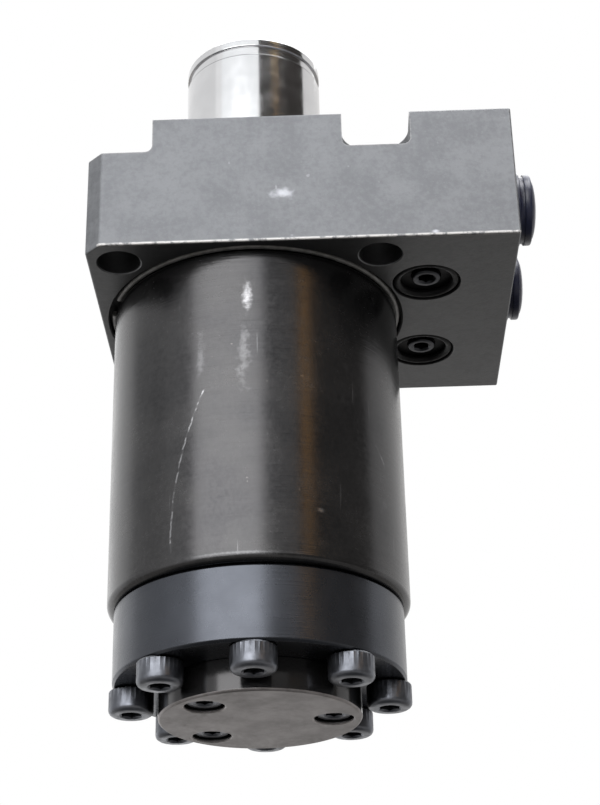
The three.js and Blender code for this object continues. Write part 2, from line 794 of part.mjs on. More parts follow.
function housing() {
  const group = new THREE.Group();
  group.add(
    mesh("flange_block", flangeBlock(), materials.groundSteel),
    mesh("barrel", barrel(), materials.blackSteel),
    mesh("end_cover", endCover(), materials.coverSteel),
    mesh("guide_post", guidePost(), materials.discSteel),
    mesh("gland_bush", glandBush(), materials.bronze),
    mesh("rod_seal", rodSeal(), materials.sealPolymer),
    mesh("rod_wiper", rodWiper(), materials.rubber),
    mesh("retaining_ring", splitRing(), materials.ringSteel, 0, 0, underside + wireRing.depth),
  );

  around(coverScrew.count, coverScrewCircle).forEach(({ x, y }, i) => {
    const face = coverFace - coverScrew.headHeight;
    group.add(mesh(`cover_screw_${i + 1}`, socketScrew(coverScrew), materials.screwSteel, x, y, face));
  });
  postScrew.angles.forEach((angle, i) => {
    const { x, y } = at(postScrewCircle, angle);
    const face = postScrew.recessed;
    group.add(mesh(`post_screw_${i + 1}`, socketScrew(postScrew), materials.screwSteel, x, y, face));
  });

  const large = sectionRadius.large;
  const medium = sectionRadius.medium;
  const largeCircle = boreRadius - gap.seal - large;
  const barrelCircle = barrelSpigotRadius + gap.running - gap.seal - medium;
  const postCircle = postSpigotRadius + gap.fixed - gap.seal - medium;
  const glandGroove = barrelTop - glandSize.grooveBelowHead - oRingGroove(large) / 2;
  const barrelGroove = barrelTop - barrelSize.grooveFrom - oRingGroove(medium) / 2;
  const coverGroove = jointFace + coverSize.grooveFrom + oRingGroove(large) / 2;
  const postGroove = (coverFace + coverEnd) / 2 + oRingGroove(medium) / 2;
  group.add(
    mesh("gland_o_ring", oRing(largeCircle, large), materials.rubber, 0, 0, glandGroove),
    mesh("barrel_o_ring", oRing(barrelCircle, medium), materials.rubber, 0, 0, barrelGroove),
    mesh("cover_o_ring", oRing(largeCircle, large), materials.rubber, 0, 0, coverGroove),
    mesh("post_o_ring", oRing(postCircle, medium), materials.rubber, 0, 0, postGroove),
  );

  [1, -1].forEach((side, i) => {
    const number = i + 1;
    const y = side * facePort.y;
    const faceCircle = facePort.seatRadius - gap.running - sectionRadius.face;
    const faceRing = oRing(faceCircle, sectionRadius.face, facets.medium);
    const faceRingHeight = underside + facePort.seatDepth - gap.seal - sectionRadius.face;
    const way = at(galleryCircle, side * gallery.angle);
    const galleryRingCircle = gallery.sealSeat - gap.seal - sectionRadius.gallery;
    const galleryRing = oRing(galleryRingCircle, sectionRadius.gallery, facets.small);
    const galleryRingHeight = shoulder - gallery.sealDepth / 2;
    const cap = mesh(`port_cap_${number}`, portCap(), materials.capPlastic);
    cap.rotation.y = Math.PI / 2;
    cap.position.set(flangeRight + gap.seat, side * sidePort.y, sidePortHeight);
    const plugFace = underside + facePlug.recessed;
    group.add(
      mesh(`manifold_plug_${number}`, socketPlug(), materials.screwSteel, facePortX, y, plugFace),
      mesh(`manifold_o_ring_${number}`, faceRing, materials.rubber, facePortX, y, faceRingHeight),
      mesh(`gallery_o_ring_${number}`, galleryRing, materials.rubber, way.x, way.y, galleryRingHeight),
      cap,
    );
  });
  return group;
}

function pistonRings() {
  const { sealFrom, sealHeight, sealDepth, wearFrom, wearHeight, wearDepth } = pistonSize;
  const group = new THREE.Group();
  group.add(
    mesh("piston_seal", pistonRing(sealFrom, sealHeight, sealDepth), materials.sealPolymer),
    mesh("piston_wear_ring", pistonRing(wearFrom, wearHeight, wearDepth), materials.bronze),
  );
  return group;
}

function movingPlunger() {
  const group = new THREE.Group();
  group.add(
    mesh("plunger", plunger(), materials.chrome),
    mesh("piston", piston(), materials.castIron),
    mesh("piston_nut", pistonNut(), materials.castIron),
  );
  around(ballSize.count, ballCircle, ballSize.firstAngle).forEach(({ x, y }, i) => {
    group.add(mesh(`swing_ball_${i + 1}`, ball(), materials.bearingSteel, x, y, ballHeight));
  });
  return group;
}

const clamp = new THREE.Group();
clamp.add(housing(), pistonRings(), movingPlunger());

export default clamp;
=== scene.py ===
# %% [markdown]
# # A hydraulic swing clamp cylinder
# The packed CAD model says where every piece is and how it moves. This notebook leaves those places alone
# and builds the surfaces that a person sees: turned steel, a ground block, black screws and a chromed
# plunger. Most of the object is lathe work, so most cells draw half an outline and spin it, the way the
# real pieces are turned.

# %% Load the packed model
import json
import math

import bmesh
import bpy
from mathutils import Matrix, Vector


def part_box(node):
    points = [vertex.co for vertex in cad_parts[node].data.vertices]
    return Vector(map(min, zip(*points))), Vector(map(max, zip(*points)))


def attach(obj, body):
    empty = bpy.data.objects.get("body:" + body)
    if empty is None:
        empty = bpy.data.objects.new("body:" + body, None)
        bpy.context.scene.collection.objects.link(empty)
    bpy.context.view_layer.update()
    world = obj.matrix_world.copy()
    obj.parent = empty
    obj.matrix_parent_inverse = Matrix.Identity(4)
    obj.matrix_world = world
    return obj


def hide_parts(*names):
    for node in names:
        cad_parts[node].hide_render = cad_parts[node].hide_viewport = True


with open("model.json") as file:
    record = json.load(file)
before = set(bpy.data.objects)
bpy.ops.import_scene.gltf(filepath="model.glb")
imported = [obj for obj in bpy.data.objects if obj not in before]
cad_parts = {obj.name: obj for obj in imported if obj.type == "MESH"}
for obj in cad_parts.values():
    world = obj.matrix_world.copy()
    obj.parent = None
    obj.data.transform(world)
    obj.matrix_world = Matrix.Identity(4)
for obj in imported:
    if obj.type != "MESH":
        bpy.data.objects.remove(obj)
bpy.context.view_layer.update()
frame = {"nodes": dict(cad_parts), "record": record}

# %% [markdown]
# ## The camera
# The clamp is seen from below the base disc, from the front, with a long lens. A turn about Z, then a tilt,
# then a small roll about the line of sight give the same view as looking up at a part that hangs in a
# fixture.

# %% Place the camera
MM = 0.001
camera_place = Vector((11.65, -261.0, -76.85)) * MM
heading, climb, roll = math.radians(0.977), math.radians(26.695), math.radians(-1.321)

lens = bpy.data.cameras.new("camera")
lens.lens = 78.2
camera = bpy.data.objects.new("camera", lens)
bpy.context.scene.collection.objects.link(camera)
bpy.context.scene.camera = camera
camera.matrix_world = (
    Matrix.Translation(camera_place)
    @ Matrix.Rotation(heading, 4, "Z")
    @ Matrix.Rotation(math.pi / 2 + climb, 4, "X")
    @ Matrix.Rotation(roll, 4, "Z")
)
print("camera", round(1000 * camera_place.length), "mm from the base disc")

# Small features that a box can't show, such as a chamfer or a groove, are written here once, in
# millimetres.

# %% Read the outer sizes
def box_mm(node):
    low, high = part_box(node)
    return low / MM, high / MM


def middle_mm(node):
    low, high = box_mm(node)
    return (low + high) / 2


block_low, block_high = box_mm("flange_block")
barrel_low, barrel_high = box_mm("barrel")
cover_low, cover_high = box_mm("end_cover")
post_high = box_mm("guide_post")[1]
rod_low, rod_high = box_mm("plunger")
wiper_low, wiper_high = box_mm("rod_wiper")

UNDERSIDE, FLANGE_TOP = block_low.z, block_high.z
BARREL_RADIUS = barrel_high.x
COVER_RADIUS, COVER_FACE, COVER_END = cover_high.x, cover_low.z, cover_high.z
DISC_RADIUS = post_high.x
ROD_RADIUS = rod_high.x
JOINT_FACE = barrel_low.z
print("barrel", 2 * BARREL_RADIUS, "mm across, plunger", 2 * ROD_RADIUS, "mm across")

# %% [markdown]
# ## Turning a mesh
# A lathe piece starts as a chain of points in the plane of X and Z. `bmesh.ops.spin` carries the chain
# round the axis. With `use_merge` the last step is welded to the first, and the normals are recalculated
# afterwards, because a spin can leave them pointing inwards. A thin bevel then takes the knife edge off
# every corner, since no machined edge is perfectly sharp and the light catches it.

# %% Helpers: finish and soften a mesh
STEPS = 96  # round a large turned piece
WELD = 0.002 * MM  # points closer than this become one
CORNER = 25  # degrees, past which an edge counts as a corner and gets its bevel


def to_object(name, bm, smooth_below=32):
    bmesh.ops.remove_doubles(bm, verts=bm.verts, dist=WELD)
    bmesh.ops.recalc_face_normals(bm, faces=bm.faces)
    mesh = bpy.data.meshes.new(name)
    bm.to_mesh(mesh)
    bm.free()
    mesh.shade_smooth()
    mesh.set_sharp_from_angle(angle=math.radians(smooth_below))
    made = bpy.data.objects.new(name, mesh)
    bpy.context.scene.collection.objects.link(made)
    return made


def bevelled(bm, edges, width, segments, clamp=False):
    """Bevels some edges by a width in mm. clamp keeps the bevels of close edges out of each other."""
    bmesh.ops.bevel(
        bm, geom=edges, offset=width * MM, offset_type="OFFSET", affect="EDGES",
        segments=segments, profile=0.5, material=-1, clamp_overlap=clamp,
    )


def soften(bm, width, segments=2):
    """Bevels every corner by a width in mm."""
    bm.normal_update()
    sharp = [e for e in bm.edges if len(e.link_faces) == 2 and e.calc_face_angle(0) > math.radians(CORNER)]
    bevelled(bm, sharp, width, segments, clamp=True)


print("corners past", CORNER, "degrees get a bevel")

# %% Helpers: turn an outline
def spun(outline, steps=STEPS, edge=0.0):
    """A bmesh turned about Z from its (radius, height) corners in mm. One that misses the axis is a ring."""
    bm = bmesh.new()
    chain = [bm.verts.new((radius * MM, 0, height * MM)) for radius, height in outline]
    for a, b in zip(chain, chain[1:]):
        bm.edges.new((a, b))
    if outline[0][0] > 0 or outline[-1][0] > 0:
        bm.edges.new((chain[-1], chain[0]))
    bmesh.ops.spin(
        bm, geom=bm.verts[:] + bm.edges[:], cent=(0, 0, 0), axis=(0, 0, 1),
        angle=2 * math.pi, steps=steps, use_merge=True, use_duplicate=False,
    )
    bmesh.ops.remove_doubles(bm, verts=bm.verts, dist=WELD)
    bmesh.ops.recalc_face_normals(bm, faces=bm.faces)
    if edge:
        soften(bm, edge)
    return bm


def moved(bm, x=0, y=0, z=0):
    bmesh.ops.translate(bm, verts=bm.verts, vec=Vector((x, y, z)) * MM)
    return bm


def arc(radius, height, reach, start, end, count=6):
    """Points on part of a circle in an outline, from one angle to another in degrees."""
    turn = [math.radians(start + (end - start) * i / count) for i in range(count + 1)]
    return [(radius + reach * math.cos(a), height + reach * math.sin(a)) for a in turn]


print("a large turned piece has", STEPS, "steps or more")

# %% [markdown]
# ## Cutting with tools
# Holes and pockets are subtracted, as a drill or a mill takes them out of the real steel. A Boolean
# modifier could stay live on the piece, but then its tools would have to stay in the scene as well. So the
# result is read from the dependency graph once and the tools are removed. The exact solver is slower than
# the fast one, and copes with faces that lie in one plane, of which machined pieces are full.

# %% Helper: cut one mesh with others
def cut(piece, tools):
    """Subtracts each tool's bmesh from the piece with an exact Boolean, then keeps only the result."""
    cutters = [to_object(f"cutter_{i}", tool) for i, tool in enumerate(tools)]
    for cutter in cutters:
        step = piece.modifiers.new(cutter.name, "BOOLEAN")
        step.operation, step.solver, step.object = "DIFFERENCE", "EXACT", cutter
    graph = bpy.context.evaluated_depsgraph_get()
    result = bmesh.new()
    result.from_mesh(bpy.data.meshes.new_from_object(piece.evaluated_get(graph), depsgraph=graph))
    name = piece.name
    for spare in [piece, *cutters]:
        bpy.data.objects.remove(spare)
    bmesh.ops.remove_doubles(result, verts=result.verts, dist=WELD)
    bmesh.ops.dissolve_degenerate(result, edges=result.edges, dist=0.001 * MM)
    return name, result


print("tools are subtracted with the exact solver")

# %% [markdown]
# ## Keeping a piece in the assembly
# Every piece rides on a body, stands in for its CAD node, names its material slot and gets its finish. A
# thin bevel would bend the shading of the long face beside it, so that a straight reflection came out
# curved. The Weighted Normal modifier lets the larger face decide, and the bend stays inside the bevel.

# %% Helper: hand a piece over to the frame
BODY_OF = {node: body for body, nodes in frame["record"]["behaviour"]["bodies"].items() for node in nodes}


def keep(piece, node, material):
    piece.data.materials.clear()
    piece.data.materials.append(material)
    shading = piece.modifiers.new("larger_face_decides", "WEIGHTED_NORMAL")
    shading.keep_sharp = True
    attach(piece, BODY_OF[node])
    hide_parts(node)
    print(f"{piece.name}: {len(piece.data.polygons)} faces, on {BODY_OF[node]}")


# %% [markdown]
# ## Building a finish from nodes
# Metal is mostly reflection, so its colour is low or high, its roughness decides how soft the reflections
# are, and a faint bump breaks them up. Each finish reads Object coordinates, which stay with the piece when
# it moves. A few helpers keep the node trees readable.

# %% Helpers: node trees
class Finish:
    """A material under construction. Most methods add nodes and return the socket to use next, and color,
    roughness and bump lead a socket into the shader."""

    def __init__(self, name, metallic=0.0, roughness=0.5, color=(0.5, 0.5, 0.5)):
        self.material = bpy.data.materials.new(name)
        self.material.use_nodes = True
        self.tree = self.material.node_tree
        self.shader = next(n for n in self.tree.nodes if n.type == "BSDF_PRINCIPLED")
        self.shader.inputs["Metallic"].default_value = metallic
        self.shader.inputs["Roughness"].default_value = roughness
        self.shader.inputs["Base Color"].default_value = (*color, 1)
        self.place = self.add("ShaderNodeTexCoord").outputs["Object"]
        self.height = None

    def add(self, kind, **settings):
        made = self.tree.nodes.new(kind)
        for key, value in settings.items():
            setattr(made, key, value)
        return made

    def feed(self, socket, value):
        if isinstance(value, bpy.types.NodeSocket):
            self.tree.links.new(value, socket)
        elif isinstance(value, tuple) and len(value) == 3 and socket.type == "RGBA":
            socket.default_value = (*value, 1)
        else:
            socket.default_value = value

    def mapped(self, scale=(1, 1, 1), location=(0, 0, 0), rotation=(0, 0, 0)):
        made = self.add("ShaderNodeMapping")
        self.feed(made.inputs["Vector"], self.place)
        made.inputs["Scale"].default_value = scale
        made.inputs["Location"].default_value = location
        made.inputs["Rotation"].default_value = rotation
        return made.outputs["Vector"]

    def noise(self, size_mm, detail=3, rough=0.55, vector=None):
        made = self.add("ShaderNodeTexNoise")
        self.feed(made.inputs["Vector"], vector or self.place)
        made.inputs["Scale"].default_value = 1 / (size_mm * MM)
        made.inputs["Detail"].default_value = detail
        made.inputs["Roughness"].default_value = rough
        return made.outputs["Fac"]

    def math(self, operation, a, b=0.0):
        made = self.add("ShaderNodeMath", operation=operation)
        self.feed(made.inputs[0], a)
        self.feed(made.inputs[1], b)
        return made.outputs[0]

    def span(self, value, low, high, to_low=0.0, to_high=1.0):
        made = self.add("ShaderNodeMapRange", interpolation_type="SMOOTHSTEP")
        for socket, number in zip(made.inputs[:5], (value, low, high, to_low, to_high)):
            self.feed(socket, number)
        return made.outputs["Result"]

    def blend(self, factor, a, b):
        made = self.add("ShaderNodeMix", data_type="RGBA")
        for name, value in (("Factor", factor), ("A", a), ("B", b)):
            sockets = [s for s in made.inputs if s.name == name and s.enabled]
            self.feed(sockets[0], value)
        return next(s for s in made.outputs if s.enabled)

    def axis(self, name):
        made = self.add("ShaderNodeSeparateXYZ")
        self.feed(made.inputs[0], self.place)
        return made.outputs[name]

    def edges(self, reach_mm):
        """High where the surface turns within a short reach, so at worn edges."""
        soft = self.add("ShaderNodeBevel", samples=4)
        soft.inputs["Radius"].default_value = reach_mm * MM
        flat = self.add("ShaderNodeNewGeometry").outputs["Normal"]
        facing = self.add("ShaderNodeVectorMath", operation="DOT_PRODUCT")
        self.feed(facing.inputs[0], soft.outputs["Normal"])
        self.feed(facing.inputs[1], flat)
        return self.span(facing.outputs["Value"], 0.995, 0.9)

    def shade_in_hollows(self, reach_mm):
        """High down holes and in deep corners, where little light gets in. The finishes use it to paint shade
        there.
        """
        open_sky = self.add("ShaderNodeAmbientOcclusion", samples=6)
        open_sky.inputs["Distance"].default_value = reach_mm * MM
        return self.span(open_sky.outputs["AO"], 0.75, 0.45)

    def color(self, value):
        self.feed(self.shader.inputs["Base Color"], value)

    def roughness(self, value):
        self.feed(self.shader.inputs["Roughness"], value)

    def bump(self, height, strength=0.2, distance_mm=0.05):
        made = self.add("ShaderNodeBump")
        made.inputs["Strength"].default_value = strength
        made.inputs["Distance"].default_value = distance_mm * MM
        self.feed(made.inputs["Height"], height)
        if self.height:
            self.feed(made.inputs["Normal"], self.height)
        self.height = made.outputs["Normal"]
        self.feed(self.shader.inputs["Normal"], self.height)


print("a finish can use", [name for name in vars(Finish) if not name.startswith("_")])

# %% [markdown]
# ### The ground block
# The flange block is milled steel with a thin grey skin. It is metal all through, so nearly all of its
# light is reflection: it looks pale where it faces a lamp and almost black where it faces the dark barrel.
# The surface is rough enough to blur that to a glow, and a faint orange peel breaks it up. The underside is
# faced smoother and painted darker as shade. The holes and deep corners are painted near black as shade, and
# a painted highlight runs along the front lower edge, broken up like wear.

# %% Helpers: a scuff, and the walls of drilled holes
def scuff(finish, x, z, width, height, lean=0.0, ragged=0.6, grain_mm=0.5):
    """High inside a ragged patch on the front, at x and z in mm."""
    shift = finish.mapped(location=(-x * MM, 0, -z * MM))
    turned = finish.add("ShaderNodeMapping")
    finish.feed(turned.inputs["Vector"], shift)
    turned.inputs["Rotation"].default_value = (0, math.radians(lean), 0)
    turned.inputs["Scale"].default_value = (1 / (width * MM), 0, 1 / (height * MM))
    length = finish.add("ShaderNodeVectorMath", operation="LENGTH")
    finish.feed(length.inputs[0], turned.outputs["Vector"])
    rag = finish.math("MULTIPLY", finish.noise(grain_mm, 4), ragged)
    far = finish.math("ADD", length.outputs["Value"], rag)
    front = finish.span(finish.axis("Y"), 0, -10 * MM)
    return finish.math("MULTIPLY", finish.span(far, 1 + ragged / 2, ragged / 2), front)


def drilled(finish, x, y, radius, top, both_sides):
    """High on the walls of upright holes in mm: one front and one back, and on both sides if both_sides."""
    across = finish.axis("X")
    if both_sides:
        across = finish.math("ABSOLUTE", across)
    place = finish.add("ShaderNodeCombineXYZ")
    finish.feed(place.inputs["X"], finish.math("SUBTRACT", across, x * MM))
    finish.feed(place.inputs["Y"], finish.math("SUBTRACT", finish.math("ABSOLUTE", finish.axis("Y")), y * MM))
    length = finish.add("ShaderNodeVectorMath", operation="LENGTH")
    finish.feed(length.inputs[0], place.outputs[0])
    wall = finish.span(length.outputs["Value"], (radius + 0.16) * MM, (radius + 0.05) * MM)
    return finish.math("MULTIPLY", wall, finish.span(finish.axis("Z"), top * MM, (top - 0.2) * MM))


print("a scuff and a drilled wall are masks: 1 inside, 0 outside")

# %% Finish: ground steel
FRONT_FACE = block_low.y
POCKET_DEPTH = 6.4
POCKET_FLOOR = FLANGE_TOP - POCKET_DEPTH


def ground_steel():
    f = Finish("ground_steel", metallic=0.75, roughness=0.6)
    cloud = f.noise(6, 3)
    mottle = f.noise(1.1, 5, 0.65)
    speck = f.noise(0.35, 2)
    tone = f.math("ADD", f.math("MULTIPLY", cloud, 0.35), f.math("MULTIPLY", mottle, 0.65))
    base = f.blend(f.span(tone, 0.38, 0.62), (0.148, 0.153, 0.164), (0.202, 0.209, 0.221))
    base = f.blend(f.span(speck, 0.6, 0.75, 0, 0.3), base, (0.25, 0.255, 0.26))
    # Painted highlight: a bright line along the front lower edge, broken by noise. The edge mask below adds
    # the real worn edges.
    at_front = f.span(f.axis("Y"), (FRONT_FACE + 0.5) * MM, (FRONT_FACE + 0.25) * MM)
    at_foot = f.span(f.axis("Z"), (UNDERSIDE + 0.6) * MM, (UNDERSIDE + 0.3) * MM)
    front_foot_highlight = f.math("MULTIPLY", at_front, at_foot)
    broken = f.span(f.noise(1.3, 4, 0.7), 0.36, 0.54, 0.1, 0.9)
    wear_and_edge_highlight = f.math("MULTIPLY", f.edges(0.45), f.span(f.noise(1.1, 4, 0.7), 0.34, 0.5, 0, 0.25))
    wear_and_edge_highlight = f.math("MAXIMUM", wear_and_edge_highlight, f.math("MULTIPLY", front_foot_highlight, broken))
    base = f.blend(wear_and_edge_highlight, base, (0.62, 0.61, 0.60))
    patch = f.math("MULTIPLY", scuff(f, 5.6, UNDERSIDE + 8.7, 2.6, 1.3, -12, 1.3, 0.9), 0.85)
    dent = scuff(f, 29.6, UNDERSIDE + 0.7, 0.9, 0.45, 50, 0.8, 0.8)
    base = f.blend(f.math("MAXIMUM", patch, dent), base, (0.50, 0.51, 0.55))
    nick = f.span(f.noise(1.7, 1, 0.4), 0.775, 0.80, 0, 0.5)
    base = f.blend(nick, base, (0.36, 0.365, 0.38))
    # Painted shade: the walls of the bolt holes and the face ports, and the deep corners that the hollow mask
    # finds, are painted near black.
    bolt_walls = drilled(f, 21, 21, 3.4, POCKET_FLOOR - 0.1, True)
    port_walls = drilled(f, 28.7, 11.7, 5.6, UNDERSIDE + 12.1, False)
    holes = f.math("MAXIMUM", bolt_walls, port_walls)
    # The faced underside is smoother, and its colour is also painted darker there as shade.
    faced_and_shaded = f.span(f.axis("Z"), (UNDERSIDE + 0.1) * MM, (UNDERSIDE + 0.02) * MM)
    base = f.blend(f.math("MULTIPLY", faced_and_shaded, 0.75), base, (0.05, 0.05, 0.05))
    f.color(f.blend(f.math("MAXIMUM", holes, f.shade_in_hollows(7)), base, (0.02, 0.02, 0.021)))
    f.roughness(f.span(faced_and_shaded, 0, 1, f.span(mottle, 0.3, 0.7, 0.55, 0.65), 0.38))
    f.bump(f.noise(0.5, 3), 0.5, 0.03)
    f.bump(mottle, 0.55, 0.05)
    return f.material


GROUND_STEEL = ground_steel()
print("finish:", GROUND_STEEL.name)

# %% [markdown]
# ### Black steel
# The barrel is finely turned, then blackened in hot oxide. The skin is a few micrometres thick and follows
# the turned surface, so it still mirrors its surroundings darkly. A metallic base of about 0.05 gives that.
# The turning marks are noise stretched round the axis. They tilt the surface up and down only, so each
# reflection is smeared along the barrel and its edges stay straight. Handling leaves clouds, smears and a
# long scratch. The rounded foot is painted darker as shade, and a thin painted highlight runs along it in
# front.

# %% Helpers: turning marks, and a scratch
def turning_marks(finish, pitch_mm, across=0.02):
    """Fine lines round Z: noise that changes fast along the axis and slowly round it."""
    return finish.noise(pitch_mm, 2, 0.5, finish.mapped(scale=(across, across, 1)))


def scratch(finish, top, bottom, bow, width, dash_mm=1.5):
    """High on a dashed, bowed line on the front between two (x, z) points in mm."""
    (x0, z0), (x1, z1) = top, bottom
    x, z = finish.axis("X"), finish.axis("Z")
    down = finish.math("DIVIDE", finish.math("SUBTRACT", z0 * MM, z), (z0 - z1) * MM)
    sag = finish.math("MULTIPLY", down, finish.math("SUBTRACT", 1.0, down))
    line = finish.math(
        "ADD", finish.math("MULTIPLY", down, (x1 - x0) * MM), finish.math("MULTIPLY", sag, bow * MM)
    )
    wander = finish.math("MULTIPLY", finish.math("SUBTRACT", finish.noise(1.6, 2), 0.5), 0.5 * MM)
    off = finish.math("SUBTRACT", finish.math("SUBTRACT", x, x0 * MM), finish.math("ADD", line, wander))
    near = finish.span(finish.math("ABSOLUTE", off), width * MM, width * 0.3 * MM)
    dash = finish.span(finish.noise(dash_mm, 1, 0.6, finish.mapped(scale=(0.2, 0.2, 1))), 0.44, 0.56, 0.12, 1)
    ends = finish.math("MULTIPLY", finish.span(down, 0, 0.02), finish.span(down, 1, 0.97))
    front = finish.span(finish.axis("Y"), -1 * MM, -4 * MM)
    return finish.math("MULTIPLY", finish.math("MULTIPLY", near, dash), finish.math("MULTIPLY", ends, front))


print("turning marks run round Z, a scratch lies on the front")

# %% Finish: black steel
def black_steel():
    f = Finish("black_steel", metallic=0.9, roughness=0.22)
    cloud = f.noise(11, 4, 0.6)
    grain = turning_marks(f, 0.5, 0.05)
    base = f.blend(f.span(cloud, 0.3, 0.7), (0.042, 0.042, 0.044), (0.062, 0.061, 0.062))
    base = f.blend(f.span(grain, 0.35, 0.65, 0, 0.12), base, (0.078, 0.078, 0.081))
    fine = f.noise(0.7, 4, 0.7)
    base = f.blend(f.span(fine, 0.35, 0.65, 0, 0.3), base, (0.080, 0.079, 0.081))
    # Painted shade: the lower part of the rounded foot is painted near black where it turns down.
    foot = f.span(f.axis("Z"), (JOINT_FACE + 0.75) * MM, (JOINT_FACE + 0.45) * MM)
    base = f.blend(f.math("MULTIPLY", foot, 0.2), base, (0.012, 0.012, 0.013))
    smudge = f.span(f.noise(5.2, 5, 0.7), 0.62, 0.78, 0, 0.4)
    base = f.blend(smudge, base, (0.12, 0.12, 0.125))
    fleck = f.span(f.noise(1.1, 2, 0.5), 0.76, 0.8, 0, 0.5)
    base = f.blend(fleck, base, (0.22, 0.21, 0.2))
    hair_place = f.mapped(rotation=(0.06, 0.1, 0), scale=(1, 1, 0.05))
    marks = (  # each with its strength
        (scuff(f, -0.3, 61.3, 1.0, 3.2, -16, 1.2, 0.8), 0.9),  # the white scuff under the flange
        (scuff(f, -0.9, 51.0, 1.2, 7.0, -6, 3.0, 1.2), 0.2),  # a faint smear below it
        (scuff(f, -7.6, 51.6, 0.8, 5.0, -3, 2.2, 1.0), 0.17),  # and one to its left
        (scuff(f, 10.3, 25.6, 0.8, 0.55, 30, 1.0, 0.8), 0.75),  # a chip low on the right
        (scuff(f, -1.0, JOINT_FACE + 1.2, 11.0, 0.3, 0, 1.2, 0.5), 0.22),  # a painted highlight along the front of the foot
        (f.span(f.noise(0.45, 1, 0.5, hair_place), 0.74, 0.82), 0.22),  # hair lines all over
        (scratch(f, (15.8, 50.7), (15.7, 44.4), 0.1, 0.12, 4), 0.3),  # two short scratches
        (scratch(f, (19.0, 39.4), (20.6, 36.0), 0.3, 0.15, 3), 0.35),
        (scratch(f, (-7.1, 45.8), (-12.1, 19.6), -6.1, 0.17), 0.7),  # the long scratch
    )
    white = f.math("MULTIPLY", *marks[0])
    for mark, strength in marks[1:]:
        white = f.math("MAXIMUM", white, f.math("MULTIPLY", mark, strength))
    worn = f.math("MULTIPLY", f.edges(0.35), f.span(f.noise(1.4, 3), 0.45, 0.7, 0, 0.5))
    f.color(f.blend(f.math("MAXIMUM", white, worn), base, (0.30, 0.30, 0.31)))
    uneven = f.math("MULTIPLY", f.math("ADD", cloud, fine), 0.5)
    f.roughness(f.span(uneven, 0.35, 0.65, 0.18, 0.28))
    f.bump(turning_marks(f, 0.16), 1.0, 0.018)
    f.bump(f.noise(3.0, 3), 0.1, 0.02)
    return f.material


BLACK_STEEL = black_steel()
print("finish:", BLACK_STEEL.name)

# %% [markdown]
# ### Cover steel
# The end cover is blackened too, with a bluer, softer sheen. It is cleaner than the barrel, so it needs
# only a slow change of tone, turning marks, and edges where the black has rubbed off.

# %% Finish: cover steel
def cover_steel():
    f = Finish("cover_steel", metallic=0.93, roughness=0.27)
    cloud = f.noise(10, 3)
    base = f.blend(f.span(cloud, 0.3, 0.7), (0.058, 0.062, 0.072), (0.072, 0.077, 0.089))
    worn = f.math("MULTIPLY", f.edges(0.3), f.span(f.noise(1.2, 3), 0.42, 0.62, 0, 0.6))
    f.color(f.blend(worn, base, (0.4, 0.41, 0.43)))
    f.roughness(f.span(f.noise(3.5, 3), 0.3, 0.7, 0.25, 0.30))
    f.bump(turning_marks(f, 0.2), 1.0, 0.018)
    return f.material


COVER_STEEL = cover_steel()
print("finish:", COVER_STEEL.name)

# %% [markdown]
# ### Disc steel
# The base disc is plain turned steel. Its face stands on benches and has gone a warm grey with a bright
# rim, and its side is black and smooth. Both are one piece of steel, so one finish has both, and the height
# above the face chooses between them. The rings that a facing tool leaves are a wave texture round Z, used
# as bump.

# %% Finish: disc steel
def disc_steel():
    f = Finish("disc_steel", metallic=0.75, roughness=0.5)
    cloud = f.noise(7, 4, 0.6)
    fine = f.noise(0.8, 4, 0.65)
    tone = f.math("ADD", f.math("MULTIPLY", cloud, 0.7), f.math("MULTIPLY", fine, 0.3))
    base = f.blend(f.span(tone, 0.36, 0.62), (0.205, 0.192, 0.189), (0.34, 0.32, 0.32))
    worn = f.math("MULTIPLY", f.edges(0.35), f.span(f.noise(1.5, 3), 0.3, 0.6))
    face = f.blend(f.math("MULTIPLY", worn, 0.6), base, (0.7, 0.68, 0.67))
    side = f.span(f.axis("Z"), 0.28 * MM, 0.45 * MM)
    f.color(f.blend(side, face, (0.05, 0.049, 0.05)))
    f.roughness(f.span(side, 0, 1, f.span(fine, 0.3, 0.7, 0.42, 0.6), 0.15))
    rings = f.add("ShaderNodeTexWave", wave_type="RINGS", rings_direction="Z", wave_profile="SIN")
    f.feed(rings.inputs["Vector"], f.place)
    rings.inputs["Scale"].default_value = 1 / (0.5 * MM)
    rings.inputs["Distortion"].default_value = 0.6
    f.bump(rings.outputs["Fac"], 0.12, 0.01)
    f.bump(f.noise(0.4, 3), 0.2, 0.02)
    return f.material


DISC_STEEL = disc_steel()
print("finish:", DISC_STEEL.name)

# %% [markdown]
# ### Screw steel
# The screws are blackened and oiled. A mask of hollows paints shade into the sockets. The same finish serves
# the plugs of the underside, which sit deep in their seats, and there the height chooses a darker painted
# shade.

# %% Finish: screw steel
def screw_steel():
    f = Finish("screw_steel", metallic=0.9, roughness=0.34)
    cloud = f.noise(2.2, 4)
    base = f.blend(f.span(cloud, 0.3, 0.7), (0.105, 0.111, 0.126), (0.160, 0.168, 0.190))
    worn = f.math("MULTIPLY", f.edges(0.22), f.span(f.noise(0.8, 3), 0.4, 0.62, 0, 0.5))
    base = f.blend(worn, base, (0.34, 0.35, 0.37))
    # Painted shade: the sockets, and the plugs deep in the underside's seats, are painted near black.
    shaded_sockets_and_plugs = f.math("MAXIMUM", f.shade_in_hollows(2.5), f.span(f.axis("Z"), 40 * MM, 60 * MM, 0, 0.7))
    f.color(f.blend(shaded_sockets_and_plugs, base, (0.01, 0.01, 0.011)))
    f.roughness(f.span(f.noise(0.9, 3), 0.3, 0.7, 0.28, 0.42))
    f.bump(f.noise(0.3, 2), 0.2, 0.015)
    return f.material


SCREW_STEEL = screw_steel()
print("finish:", SCREW_STEEL.name)

# %% [markdown]
# ### Ring steel
# The snap ring is bare spring wire, dulled by handling. It is so thin that tone and roughness are enough.

